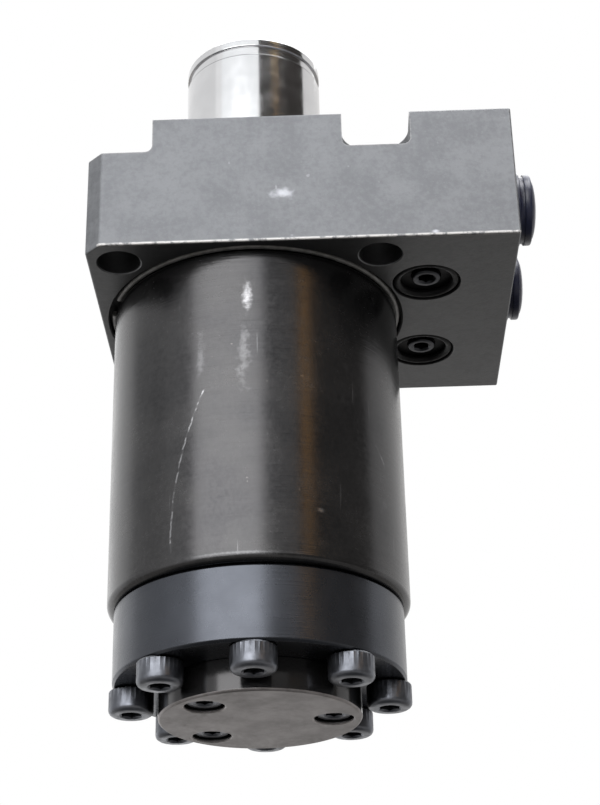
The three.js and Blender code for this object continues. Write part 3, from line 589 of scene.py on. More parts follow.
# %% Finish: ring steel
def ring_steel():
    f = Finish("ring_steel", metallic=0.5, roughness=0.55)
    base = f.blend(f.span(f.noise(1.5, 4), 0.35, 0.65), (0.17, 0.166, 0.16), (0.25, 0.246, 0.24))
    f.color(base)
    f.roughness(f.span(f.noise(0.8, 3), 0.3, 0.7, 0.5, 0.62))
    f.bump(f.noise(0.25, 2), 0.15, 0.01)
    return f.material


RING_STEEL = ring_steel()
print("finish:", RING_STEEL.name)

# %% [markdown]
# ### Chrome
# Hard chrome is ground and polished, so it is nearly a mirror with a whisper of grinding lines. A mirror has
# no look of its own. Nearly all that shows is the room, which is why the lamps and cards at the end matter
# here most. A fine painted dark line runs round the rod just below its groove, as shade at the groove's lower
# edge, and the hollow mask paints shade into the groove and the thread.

# %% Finish: chrome
LINE_BELOW_TIP = 4.3


def chrome():
    f = Finish("chrome", metallic=1.0, roughness=0.2)
    cloud = f.noise(10, 3)
    base = f.blend(f.span(cloud, 0.3, 0.7), (0.58, 0.58, 0.59), (0.65, 0.65, 0.66))
    # Painted shade: a dark line just below the groove stands in for the shade at its lower edge, and the
    # hollow mask darkens the groove and the thread.
    from_line = f.math("ABSOLUTE", f.math("SUBTRACT", f.axis("Z"), (rod_high.z - LINE_BELOW_TIP) * MM))
    dark = f.math("MAXIMUM", f.shade_in_hollows(0.7), f.span(from_line, 0.17 * MM, 0.06 * MM, 0, 0.45))
    f.color(f.blend(dark, base, (0.06, 0.06, 0.065)))
    f.roughness(f.span(f.noise(2.2, 4), 0.3, 0.7, 0.11, 0.16))
    f.bump(turning_marks(f, 0.12), 0.1, 0.006)
    return f.material


CHROME = chrome()
print("finish:", CHROME.name)

# %% [markdown]
# ### The metals inside
# The piston and nut are cast iron, the gland bush is bronze, and the balls are bearing steel. They show
# only when the clamp is taken apart, so one helper makes all three from two tones, a roughness and a grain.

# %% Finishes: iron, bronze, bearing steel
def plain_metal(name, dark, light, rough, grain_mm, marks=None):
    """A worked metal with a cloudy tone, uneven roughness, and either turning marks or a cast grain."""
    f = Finish(name, metallic=1.0, roughness=rough)
    f.color(f.blend(f.span(f.noise(6 * grain_mm, 4), 0.3, 0.7), dark, light))
    f.roughness(f.span(f.noise(3 * grain_mm, 3), 0.3, 0.7, rough * 0.8, rough * 1.25))
    f.bump(turning_marks(f, marks) if marks else f.noise(grain_mm, 3), 0.2, 0.015)
    return f.material


IRON = plain_metal("iron", (0.16, 0.16, 0.165), (0.24, 0.24, 0.245), 0.45, 0.5)
BRONZE = plain_metal("bronze", (0.50, 0.33, 0.13), (0.64, 0.44, 0.19), 0.3, 0.6, marks=0.2)
BEARING_STEEL = plain_metal("bearing_steel", (0.56, 0.57, 0.58), (0.64, 0.65, 0.66), 0.12, 0.6)
print("finishes:", IRON.name, BRONZE.name, BEARING_STEEL.name)

# %% [markdown]
# ### Rubber, seal polymer and cap plastic
# These are the soft pieces. None is metallic, so the base colour does the work, and the light sits in a
# broad weak highlight. The caps are moulded in navy plastic with a slight shine.

# %% Finishes: rubber, seal polymer, cap plastic
def moulded(name, dark, light, rough, grain_mm=0.5, bump=0.15, shine=0.5):
    f = Finish(name, roughness=rough)
    f.shader.inputs["Specular IOR Level"].default_value = shine
    f.color(f.blend(f.span(f.noise(5 * grain_mm, 4), 0.3, 0.7), dark, light))
    f.roughness(f.span(f.noise(2 * grain_mm, 3), 0.3, 0.7, rough * 0.85, rough * 1.2))
    f.bump(f.noise(grain_mm, 3), bump, 0.02)
    return f.material


RUBBER = moulded("rubber", (0.007, 0.007, 0.008), (0.014, 0.014, 0.015), 0.55, shine=0.2)
SEAL_POLYMER = moulded("seal_polymer", (0.04, 0.12, 0.075), (0.06, 0.17, 0.105), 0.5)
CAP_PLASTIC = moulded("cap_plastic", (0.011, 0.014, 0.040), (0.018, 0.023, 0.062), 0.32, 0.7, 0.1)
FINISH_OF_SLOT = {
    "ground_steel": GROUND_STEEL, "black_steel": BLACK_STEEL, "cover_steel": COVER_STEEL,
    "disc_steel": DISC_STEEL, "screw_steel": SCREW_STEEL, "ring_steel": RING_STEEL, "chrome": CHROME,
    "iron": IRON, "bronze": BRONZE, "bearing_steel": BEARING_STEEL, "rubber": RUBBER,
    "seal_polymer": SEAL_POLYMER, "cap_plastic": CAP_PLASTIC,
}
print(len(FINISH_OF_SLOT), "finishes ready")

# %% [markdown]
# ## The flange block
# The real block is sawn from bar, milled square, and bored from both ends. Here it starts as a cube that is
# scaled to the CAD box. Two corners get a wide chamfer, every edge a thin one, and then tools shaped like
# the real cutters are subtracted: the stepped bore, four screw pockets with their bolt holes, and the oil
# ports.

# %% Block: the milled blank
CORNER_CHAMFER = 2.5


def milled_blank():
    bm = bmesh.new()
    bmesh.ops.create_cube(bm, size=1)
    bmesh.ops.scale(bm, verts=bm.verts, vec=(block_high - block_low) * MM)
    bmesh.ops.translate(bm, verts=bm.verts, vec=(block_high + block_low) / 2 * MM)
    left = [
        e for e in bm.edges
        if all(v.co.x < 0 for v in e.verts) and abs(e.verts[0].co.z - e.verts[1].co.z) > MM
    ]
    bevelled(bm, left, CORNER_CHAMFER, 1)
    soften(bm, 0.3, 3)
    return to_object("flange_block_visual", bm)


blank = milled_blank()
print("blank:", len(blank.data.polygons), "faces")

# %% [markdown]
# ### Tools for the bore and the holes
# Each tool carries a small flare where it leaves the steel, so the hole it cuts comes out with a chamfered
# rim.

# %% Block: the stepped bore
RECESS_WALL, RECESS_DEPTH = 1.0, 1.5  # wider than the barrel, and up to the barrel's shoulder
SHOULDER = UNDERSIDE + RECESS_DEPTH
BARREL_TOP = barrel_high.z
BORE_RADIUS = 15.9
BARREL_SPIGOT = BORE_RADIUS + 2.5
GLAND_TOP = BARREL_TOP + 3
SEAL_POCKET, SEAL_TOP = ROD_RADIUS + 4, GLAND_TOP + 5
WIPER_FOOT = wiper_low.z
WIPER_POCKET = wiper_high.x + 0.15
ROD_WAY, SPIGOT_WAY = ROD_RADIUS + 0.35, BARREL_SPIGOT + 0.15
RECESS_RADIUS = BARREL_RADIUS + RECESS_WALL
RIM = 0.25  # width of a chamfered rim
PAST = 1.0  # how far a tool starts outside the steel


def flared(radius, face, direction, rim=RIM):
    """The first outline points of a tool that enters a face: a flare that narrows to the radius."""
    return [(radius + rim + PAST, face - direction * PAST), (radius, face + direction * rim)]


bore_tool = spun([
    (0, UNDERSIDE - PAST), *flared(RECESS_RADIUS, UNDERSIDE, 1),
    (RECESS_RADIUS, SHOULDER), (SPIGOT_WAY, SHOULDER), (SPIGOT_WAY, GLAND_TOP),
    (SEAL_POCKET, GLAND_TOP), (SEAL_POCKET, SEAL_TOP), (ROD_WAY, SEAL_TOP),
    (ROD_WAY, WIPER_FOOT), (WIPER_POCKET, WIPER_FOOT),
    *reversed(flared(WIPER_POCKET, FLANGE_TOP, -1)), (0, FLANGE_TOP + PAST),
])
print("recess", RECESS_RADIUS, "mm radius, wiper pocket", round(WIPER_POCKET, 2))

# %% [markdown]
# A screw pocket is a slot milled in from the front or back. Its tool is a half circle that is extruded out
# past the edge and then up, with a rounded lower corner like the end mill's, which leaves a fillet in the
# block. The two on the left come so near the side that the mill runs out there too.

# %% Block: screw pockets and bolt holes
BOLT_RADIUS, POCKET_RADIUS, MILL_CORNER = 3.4, 5.55, 1.2
SLOT_REACH = 12  # how far the tool goes on past the pocket's middle
BOLT_OFFSET = (RECESS_RADIUS + 1.4 + BOLT_RADIUS) / math.sqrt(2)  # 1.4 mm of steel beside the recess


def pocket_tool(x, y):
    """A slot open to the front or back. One on the left is open to the side too, so its end is a quarter."""
    out, corner = math.copysign(1, y), x < 0
    bm = bmesh.new()
    bm.verts.new((POCKET_RADIUS * MM, 0, 0))
    bmesh.ops.spin(
        bm, geom=bm.verts[:], cent=(0, 0, 0), axis=(0, 0, -out),
        angle=math.pi / (2 if corner else 1), steps=16 if corner else 32,
    )
    ends = sorted((v for v in bm.verts if len(v.link_edges) == 1), key=lambda v: -v.co.x)
    grown = bmesh.ops.extrude_vert_indiv(bm, verts=ends)["verts"]
    grown.sort(key=lambda v: -v.co.x)
    grown[0].co.y += out * SLOT_REACH * MM
    if corner:
        grown[1].co.x -= SLOT_REACH * MM
        tip = bm.verts.new((grown[1].co.x, grown[0].co.y, 0))
        bm.edges.new((grown[0], tip))
        bm.edges.new((tip, grown[1]))
    else:
        grown[1].co.y += out * SLOT_REACH * MM
        bm.edges.new(grown)
    floor = bmesh.ops.contextual_create(bm, geom=bm.edges[:])["faces"]
    walls = bmesh.ops.extrude_face_region(bm, geom=floor)["geom"]
    top = [v for v in walls if isinstance(v, bmesh.types.BMVert)]
    bmesh.ops.translate(bm, verts=top, vec=(0, 0, SLOT_REACH * MM))
    bmesh.ops.recalc_face_normals(bm, faces=bm.faces)
    lower = [e for e in bm.edges if all(abs(v.co.z) < 0.01 * MM for v in e.verts)]
    near = 0.9 * SLOT_REACH * MM
    inner = [e for e in lower if any(abs(v.co.x) < near and abs(v.co.y) < near for v in e.verts)]
    bevelled(bm, inner, MILL_CORNER, 5)
    return moved(bm, x, y, POCKET_FLOOR)


def bolt_tool(x, y):
    bm = spun([
        (0, UNDERSIDE - PAST), *flared(BOLT_RADIUS, UNDERSIDE, 1),
        *reversed(flared(BOLT_RADIUS, POCKET_FLOOR, -1)), (0, POCKET_FLOOR + PAST),
    ], 48)
    return moved(bm, x, y)


corners = [(sx * BOLT_OFFSET, sy * BOLT_OFFSET) for sx in (-1, 1) for sy in (-1, 1)]
pocket_tools = [pocket_tool(x, y) for x, y in corners]
bolt_tools = [bolt_tool(x, y) for x, y in corners]
print("bolt holes at", [tuple(round(v, 1) for v in c) for c in corners])

# %% [markdown]
# The oil ways end in two kinds of port. The two in the side are deep bores for threaded fittings. The two
# in the underside are shallow seats for an O-ring with a narrow bore behind, for a clamp that sits on a
# drilled plate. Each tool takes its place from the cap or plug that closes the port, so the two can't drift
# apart.

# %% Block: oil ports
SIDE_PORT_RADIUS, SIDE_PORT_DEPTH, DRILL_TIP = 5.8, 13, 3.3
SEAT_RADIUS, SEAT_DEPTH, FACE_BORE, FACE_BORE_DEPTH = 5.6, 1.5, 2.5, 11


def side_port_tool(number):
    middle = middle_mm(f"port_cap_{number}")
    end = -SIDE_PORT_DEPTH
    bm = spun([
        (0, PAST), *flared(SIDE_PORT_RADIUS, 0, -1), (SIDE_PORT_RADIUS, end), (0, end - DRILL_TIP),
    ], 64)
    bmesh.ops.rotate(bm, verts=bm.verts, cent=(0, 0, 0), matrix=Matrix.Rotation(math.pi / 2, 3, "Y"))
    return moved(bm, block_high.x, middle.y, middle.z)


def face_port_tool(number):
    middle = middle_mm(f"manifold_plug_{number}")
    floor, end = UNDERSIDE + SEAT_DEPTH, UNDERSIDE + FACE_BORE_DEPTH
    bm = spun([
        (0, UNDERSIDE - PAST), *flared(SEAT_RADIUS, UNDERSIDE, 1, 0.15), (SEAT_RADIUS, floor),
        (FACE_BORE, floor), (FACE_BORE, end), (0, end + 1),
    ], 64)
    return moved(bm, middle.x, middle.y)


port_tools = [tool(n) for n in (1, 2) for tool in (side_port_tool, face_port_tool)]
name, block = cut(blank, [bore_tool, *pocket_tools, *bolt_tools, *port_tools])
keep(to_object(name, block), "flange_block", GROUND_STEEL)

# %% [markdown]
# ## The barrel and the end cover
# Both are turned. The outline of the barrel starts at its rounded foot, runs up the outside, over the
# spigot that enters the flange with its O-ring groove, and down the honed bore. The eight screws that hold
# the cover go up into its wall, so their holes are drilled with the Boolean, as they are on the real piece.

# %% Barrel
NECK_RADIUS = BARREL_RADIUS - 0.8
HEAD_CHAMFER = 0.3
SCREW_CIRCLE, SCREW_HOLE, SCREW_COUNT = BORE_RADIUS + 4, 2.15, 8
FOOT_RADIUS = 1.1
GROOVE_TOP = BARREL_TOP - 2.4
GROOVE_FLOOR, GROOVE_BASE = BARREL_SPIGOT - 1.35, GROOVE_TOP - 1.82

barrel_outline = [
    (BORE_RADIUS, JOINT_FACE),
    *arc(BARREL_RADIUS - FOOT_RADIUS, JOINT_FACE + FOOT_RADIUS, FOOT_RADIUS, -90, 0, 8),
    (BARREL_RADIUS, UNDERSIDE - HEAD_CHAMFER), (BARREL_RADIUS - HEAD_CHAMFER, UNDERSIDE),
    (NECK_RADIUS, UNDERSIDE), (NECK_RADIUS, SHOULDER),
    (BARREL_SPIGOT, SHOULDER), (BARREL_SPIGOT, GROOVE_BASE), (GROOVE_FLOOR, GROOVE_BASE),
    (GROOVE_FLOOR, GROOVE_TOP), (BARREL_SPIGOT, GROOVE_TOP), (BARREL_SPIGOT, BARREL_TOP),
    (BORE_RADIUS, BARREL_TOP),
]


def polar(circle, degrees):
    return circle * math.cos(math.radians(degrees)), circle * math.sin(math.radians(degrees))


def screw_hole_tools(foot, top):
    tools = []
    for i in range(SCREW_COUNT):
        x, y = polar(SCREW_CIRCLE, 360 / SCREW_COUNT * i)
        tools.append(moved(spun([(0, foot), (SCREW_HOLE, foot), (SCREW_HOLE, top), (0, top)], 24), x, y))
    return tools


tube = to_object("barrel_visual", spun(barrel_outline, 128, 0.12))
name, bm = cut(tube, screw_hole_tools(JOINT_FACE - PAST, JOINT_FACE + 12))
keep(to_object(name, bm), "barrel", BLACK_STEEL)

# %% [markdown]
# ### The end cover
# The cover is a thick ring with a spigot that centres it in the barrel and carries a seal. A plain ring
# would look the same from outside, but the piece has to hold up when the assembly is opened, so the outline
# has the whole section.

# %% End cover
POST_WAY, COVER_CHAMFER = 8.3, 0.4
COVER_SPIGOT, RING_SEAT = BORE_RADIUS - 0.15, BORE_RADIUS - 1.96
SEAT_FOOT, SEAT_HEAD = JOINT_FACE + 1.5, JOINT_FACE + 3.92

cover_outline = [
    (POST_WAY, COVER_FACE), (COVER_RADIUS - COVER_CHAMFER, COVER_FACE),
    (COVER_RADIUS, COVER_FACE + COVER_CHAMFER), (COVER_RADIUS, JOINT_FACE - COVER_CHAMFER),
    (COVER_RADIUS - COVER_CHAMFER, JOINT_FACE), (COVER_SPIGOT, JOINT_FACE), (COVER_SPIGOT, SEAT_FOOT),
    (RING_SEAT, SEAT_FOOT), (RING_SEAT, SEAT_HEAD), (COVER_SPIGOT, SEAT_HEAD),
    (COVER_SPIGOT, COVER_END), (POST_WAY, COVER_END),
]
ring = to_object("end_cover_visual", spun(cover_outline, 128, 0.1))
name, bm = cut(ring, screw_hole_tools(COVER_FACE - PAST, JOINT_FACE + PAST))
keep(to_object(name, bm), "end_cover", COVER_STEEL)

# %% [markdown]
# ## The guide post
# One piece of steel makes the base disc, the spigot in the cover and the shaft inside the plunger. Three
# helical grooves in the shaft guide the balls. A groove's tool is a circle spun round the axis while it
# climbs, which `bmesh.ops.spin` does when `dvec` gives the climb of each step.

# %% Guide post
SHAFT_RADIUS = 7.9
BALL_CIRCLE, BALL_GROOVE = 8.5, 2.25
STROKE = 24.0
LEAD = STROKE * 4  # one turn's climb, since the plunger turns a quarter over its stroke
BALL_ANGLES, BALL_REST = (90, 210, 330), 30  # degrees round the axis, and the balls' height at rest
GROOVE_FOOT, GROOVE_STEPS = 26.8, 40
POST_SCREWS = [middle_mm(f"post_screw_{i}") for i in (1, 2, 3)]
POST_HEAD_SEAT, POST_HEAD_DEPTH, POST_THREAD, POST_THREAD_END = 3.1, 3.6, 1.65, 6.2

post_outline = [
    (0, 0), (DISC_RADIUS - 0.3, 0), (DISC_RADIUS, 0.3), (DISC_RADIUS, COVER_FACE),
    (POST_WAY - 0.1, COVER_FACE), (POST_WAY - 0.1, COVER_END), (SHAFT_RADIUS, COVER_END),
    (SHAFT_RADIUS, post_high.z - 0.8), (SHAFT_RADIUS - 0.8, post_high.z), (0, post_high.z),
]


def seat_tool(centre):
    bm = spun([
        (0, -PAST), *flared(POST_HEAD_SEAT, 0, 1, 0.15), (POST_HEAD_SEAT, POST_HEAD_DEPTH),
        (POST_THREAD, POST_HEAD_DEPTH), (POST_THREAD, POST_THREAD_END), (0, POST_THREAD_END),
    ], 40)
    return moved(bm, centre.x, centre.y)


def groove_tool(degrees):
    """A cutter from the groove's foot to past the post's end. It passes the ball where the ball rests."""
    climb = post_high.z + 3 - GROOVE_FOOT
    turn = 2 * math.pi * climb / LEAD
    start = math.radians(degrees) + 2 * math.pi * (GROOVE_FOOT - BALL_REST) / LEAD
    bm = bmesh.new()
    bmesh.ops.create_circle(bm, cap_ends=True, segments=20, radius=BALL_GROOVE * MM)
    bmesh.ops.rotate(bm, verts=bm.verts, cent=(0, 0, 0), matrix=Matrix.Rotation(math.pi / 2, 3, "X"))
    moved(bm, BALL_CIRCLE, 0, GROOVE_FOOT)
    bmesh.ops.rotate(bm, verts=bm.verts, cent=(0, 0, 0), matrix=Matrix.Rotation(start, 3, "Z"))
    bmesh.ops.spin(
        bm, geom=bm.verts[:] + bm.edges[:] + bm.faces[:], cent=(0, 0, 0), axis=(0, 0, 1), angle=turn,
        dvec=(0, 0, climb / GROOVE_STEPS * MM), steps=GROOVE_STEPS,
    )
    bmesh.ops.recalc_face_normals(bm, faces=bm.faces)
    return bm


post = to_object("guide_post_visual", spun(post_outline, 128, 0.12))
name, bm = cut(post, [*map(seat_tool, POST_SCREWS), *map(groove_tool, BALL_ANGLES)])
keep(to_object(name, bm), "guide_post", DISC_STEEL)

# %% [markdown]
# ## Socket screws
# A socket head is cold formed, then knurled so that fingers can start it. The head is spun with a rounded
# rim, its side is pulled in at every second step for the knurl, and a six-sided tool cuts the socket.

# %% Helper: a socket screw
KNURL_DEPTH, HEAD_EDGE = 0.09, 0.25


def socket_screw(head_radius, head_height, shank_radius, length, across, socket_depth, rim, ribs):
    steps = 2 * ribs if ribs else 48
    rounded = arc(head_radius - rim, rim, rim, -90, 0, 4)
    end = head_height + length
    bm = spun([
        (0, 0), *rounded, (head_radius, head_height * 0.3), (head_radius, head_height - HEAD_EDGE),
        (head_radius - HEAD_EDGE, head_height), (shank_radius, head_height), (shank_radius, end), (0, end),
    ], steps)
    if ribs:
        for v in bm.verts:
            on_side = head_radius - 0.1 < v.co.xy.length / MM and v.co.z / MM > head_height * 0.25
            step = round(math.atan2(v.co.y, v.co.x) / (2 * math.pi / steps))
            if on_side and step % 2:
                v.co.xy *= 1 - KNURL_DEPTH / head_radius
    screw = to_object("screw_blank", bm)
    socket, point = bmesh.new(), across / math.sqrt(3) * MM
    bmesh.ops.create_cone(
        socket, cap_ends=True, segments=6, radius1=point, radius2=point, depth=(socket_depth + PAST) * MM,
    )
    moved(socket, 0, 0, (socket_depth - PAST) / 2)
    flare = spun([(0, -PAST), (across / 2 + 0.35 + PAST, -PAST), (across / 2 - 0.1, 0.45), (0, 0.45)], 48)
    name, bm = cut(screw, [socket, flare])
    return bm


def placed_screw(pattern, node):
    middle = middle_mm(node)
    copy = moved(pattern.copy(), middle.x, middle.y, box_mm(node)[0].z)
    keep(to_object(f"{node}_visual", copy, 27), node, SCREW_STEEL)


print("knurl", KNURL_DEPTH, "mm deep")

# %% [markdown]
# Eight screws hold the cover and three smaller ones hold the base disc. Each kind is modelled once, and a
# copy of its mesh is moved to every place, so that each screw is a piece of its own that can be taken out.

# %% Screws of the cover and of the post
cover_pattern = socket_screw(
    head_radius=3.5, head_height=3.8, shank_radius=2, length=19.9,
    across=3, socket_depth=2.2, rim=0.8, ribs=30,
)
post_pattern = socket_screw(
    head_radius=2.75, head_height=3, shank_radius=1.5, length=7.9,
    across=2.5, socket_depth=1.4, rim=0.3, ribs=0,
)
for i in range(1, SCREW_COUNT + 1):
    placed_screw(cover_pattern, f"cover_screw_{i}")
for i in range(1, 4):
    placed_screw(post_pattern, f"post_screw_{i}")

# %% [markdown]
# ## The plunger
# The rod is ground and chromed. Near the tip it has a shallow turned groove, then a chamfer, and a threaded
# hole for the arm's screw. The thread is drawn as close rings, since a helix of that pitch looks the same
# down a hole. Below the flange the rod steps down to the skirt that carries the piston and the balls.

# %% Plunger
ROD_TOP, ROD_FOOT = rod_high.z, rod_low.z
PISTON_TOP = box_mm("piston")[1].z
MARK_TOP, MARK_FOOT, MARK_RADIUS = ROD_TOP - 2.3, ROD_TOP - 4.2, ROD_RADIUS - 0.35  # the shallow groove
BORE_END = post_high.z + 3
THREAD_RADIUS, THREAD_DEPTH, THREAD_PITCH = 4.25, 20, 1.25
SKIRT_RADIUS, ROD_BORE = ROD_RADIUS - 1, ROD_RADIUS - 3.85
BALL_POCKET = 2.2


def thread_outline():
    points = []
    for i in range(int((THREAD_DEPTH - 3) / THREAD_PITCH)):
        top = ROD_TOP - 1.2 - i * THREAD_PITCH
        points += [(THREAD_RADIUS, top), (THREAD_RADIUS + 0.45, top - THREAD_PITCH / 2)]
    return points


rod_outline = [
    (0, BORE_END), (ROD_BORE, BORE_END), (ROD_BORE, ROD_FOOT), (SKIRT_RADIUS, ROD_FOOT),
    (SKIRT_RADIUS, PISTON_TOP), (ROD_RADIUS, PISTON_TOP),
    (ROD_RADIUS, MARK_FOOT), (MARK_RADIUS, MARK_FOOT), (MARK_RADIUS, MARK_TOP), (ROD_RADIUS, MARK_TOP),
    (ROD_RADIUS, ROD_TOP - 1), (ROD_RADIUS - 1, ROD_TOP), (THREAD_RADIUS + 1, ROD_TOP),
    *thread_outline(), (THREAD_RADIUS, ROD_TOP - THREAD_DEPTH), (0, ROD_TOP - THREAD_DEPTH - 2),
]


def ball_pocket_tool(degrees):
    inside, outside = ROD_BORE - PAST, SKIRT_RADIUS + PAST
    bm = spun([(0, inside), (BALL_POCKET, inside), (BALL_POCKET, outside), (0, outside)], 32)
    turn = Matrix.Rotation(math.radians(degrees), 3, "Z") @ Matrix.Rotation(math.pi / 2, 3, "Y")
    bmesh.ops.rotate(bm, verts=bm.verts, cent=(0, 0, 0), matrix=turn)
    return moved(bm, 0, 0, BALL_REST)


rod = to_object("plunger_visual", spun(rod_outline, 128, 0.08))
name, bm = cut(rod, [ball_pocket_tool(a) for a in BALL_ANGLES])
keep(to_object(name, bm), "plunger", CHROME)

# %% [markdown]
# ## Port caps
# Two push-in caps of soft plastic close the side ports. Each has a thick rim, a narrow groove and a domed
# head. The outline is drawn upright and spun like the others, and then the whole cap is laid on its side.
# Its skirt reaches into the port, as the real one's does.

# %% Port caps
def dome(radius, foot, rise, count=8):
    """Outline points over a shallow dome, from its rim to the axis."""
    return [
        (radius * math.cos(math.pi / 2 * i / count), foot + rise * math.sin(math.pi / 2 * i / count))
        for i in range(count + 1)
    ]


CAP_HEIGHT = 4.3  # above the flange's side
CAP_HOLLOW, CAP_SKIRT, CAP_REACH = 4.3, 5.5, 7  # radii of the skirt inside the port, and how far it goes in
CAP_RIM, CAP_WAIST, CAP_HEAD = 6.15, 5.6, 5.9  # radii of the rim, the groove and the head
cap_outline = [
    (0, 0), (CAP_HOLLOW, 0), (CAP_HOLLOW, -CAP_REACH), (CAP_SKIRT, -CAP_REACH), (CAP_SKIRT, 0), (CAP_RIM, 0),
    *arc(CAP_RIM - 0.25, 1.25, 0.25, 0, 90, 3), (CAP_WAIST, 1.5), (CAP_WAIST, 2.2), (CAP_HEAD, 2.2),
    *arc(CAP_HEAD - 0.3, 3.1, 0.3, 0, 90, 4), *dome(5.1, 3.4, 0.9),
]


def port_cap(number):
    node = f"port_cap_{number}"
    middle = middle_mm(node)
    bm = spun(cap_outline, 72, 0.05)
    bmesh.ops.rotate(bm, verts=bm.verts, cent=(0, 0, 0), matrix=Matrix.Rotation(math.pi / 2, 3, "Y"))
    moved(bm, box_mm(node)[1].x - CAP_HEIGHT, middle.y, middle.z)
    keep(to_object(f"{node}_visual", bm), node, CAP_PLASTIC)


for number in (1, 2):
    port_cap(number)

# %% [markdown]
# ## Plugs and O-rings
# The underside's ports are closed by small socket plugs, so the screw helper makes them too. An O-ring is a
# torus. `bmesh.ops` has no torus, and a circle spun round the axis makes one, with each size read from the
# box of the CAD ring.

# %% Manifold plugs and every O-ring
def o_ring(node):
    """A torus from the CAD ring's own box: its height is twice the section."""
    low, high = box_mm(node)
    section = (high.z - low.z) / 2
    circle = (high.x - low.x) / 2 - section
    bm = bmesh.new()
    bmesh.ops.create_circle(bm, cap_ends=False, segments=16, radius=section * MM)
    bmesh.ops.rotate(bm, verts=bm.verts, cent=(0, 0, 0), matrix=Matrix.Rotation(math.pi / 2, 3, "X"))
    moved(bm, circle)
    bmesh.ops.spin(
        bm, geom=bm.verts[:] + bm.edges[:], cent=(0, 0, 0), axis=(0, 0, 1), angle=2 * math.pi,
        steps=72, use_merge=True,
    )
    moved(bm, *middle_mm(node))
    keep(to_object(f"{node}_visual", bm), node, RUBBER)


plug_pattern = socket_screw(
    head_radius=2.35, head_height=1.0, shank_radius=2.35, length=4,
    across=2.5, socket_depth=2.5, rim=0.3, ribs=0,
)
for number in (1, 2):
    placed_screw(plug_pattern, f"manifold_plug_{number}")
    o_ring(f"manifold_o_ring_{number}")
    o_ring(f"gallery_o_ring_{number}")
for node in ("gland_o_ring", "barrel_o_ring", "cover_o_ring", "post_o_ring"):
    o_ring(node)

# %% [markdown]
# ## The wiper
# The wiper keeps dirt off the plunger. All that shows is a thin lip that leans on the chrome, so the
# outline follows the lip closely, and the rest is a plain ring in its pocket.

# %% Wiper
inner, outer = ROD_RADIUS + 0.15, wiper_high.x
wiper_outline = [
    (inner + 0.2, WIPER_FOOT), (outer, WIPER_FOOT), (outer, FLANGE_TOP - 0.15), (outer - 0.15, FLANGE_TOP),
    (inner + 1.1, FLANGE_TOP), (inner + 0.75, FLANGE_TOP + 0.1), (inner + 0.35, wiper_high.z - 0.06),
    (inner + 0.12, wiper_high.z), (inner, wiper_high.z - 0.12),
]
keep(to_object("rod_wiper_visual", spun(wiper_outline, 128, 0.04)), "rod_wiper", RUBBER)

# %% [markdown]
# ## The snap ring
# A spring wire lies in the recess between the flange and the barrel's neck, with its ends left apart. A curve
# with a round bevel would draw it too, but would have to be made a mesh. A filled circle that is spun through
# less than a full turn gives the mesh at once, with both ends closed.

# %% Snap ring
RING_OPEN, RING_FROM = 12, -171  # degrees
ring_low, ring_high = box_mm("retaining_ring")
WIRE = (ring_high.z - ring_low.z) / 2


def snap_ring():
    bm = bmesh.new()
    bmesh.ops.create_circle(bm, cap_ends=True, segments=16, radius=WIRE * MM)
    bmesh.ops.rotate(bm, verts=bm.verts, cent=(0, 0, 0), matrix=Matrix.Rotation(math.pi / 2, 3, "X"))
    moved(bm, (NECK_RADIUS + RECESS_RADIUS) / 2, 0, (ring_low.z + ring_high.z) / 2)
    start = math.radians(RING_FROM + RING_OPEN)
    bmesh.ops.rotate(bm, verts=bm.verts, cent=(0, 0, 0), matrix=Matrix.Rotation(start, 3, "Z"))
    bmesh.ops.spin(
        bm, geom=bm.verts[:] + bm.edges[:] + bm.faces[:], cent=(0, 0, 0), axis=(0, 0, 1),
        angle=math.radians(360 - RING_OPEN), steps=120,
    )
    return to_object("retaining_ring_visual", bm)


keep(snap_ring(), "retaining_ring", RING_STEEL)

# %% [markdown]
# ## Pieces that keep their CAD mesh
# The piston, its nut and rings, the gland bush, the rod seal and the balls are closed in by the barrel.
# Their CAD meshes are right as they are, so only their finishes change.

# %% Finish what stays from CAD
slot_of = {part["node"]: part["material_slot"] for part in frame["record"]["subparts"]}
for node, ob in frame["nodes"].items():
    for holder in ob.material_slots:
        holder.material = FINISH_OF_SLOT[slot_of[node]]
print(len(slot_of), "nodes have their finish")

# %% [markdown]
# ## The floor and the light
# A pale floor lies at the height of the base disc. The camera looks up from below it, so only the floor's
# upper side is painted, and from below one looks through it at a white room. One soft lamp at the front
# left makes the bright band on the barrel. Round steel also mirrors the room beside and behind the camera,
# so a drum of cards stands round the clamp, and only reflections can see them. Dark cards on the right make
# the dark bands, two narrow warm ones the amber streak, and pale ones the grey of the sides and of the
# chrome. Cards underneath keep the downward faces from mirroring plain white.

# %% World
FROM_BELOW, FROM_ABOVE = 0.12, 0.55  # what dull surfaces get from the room


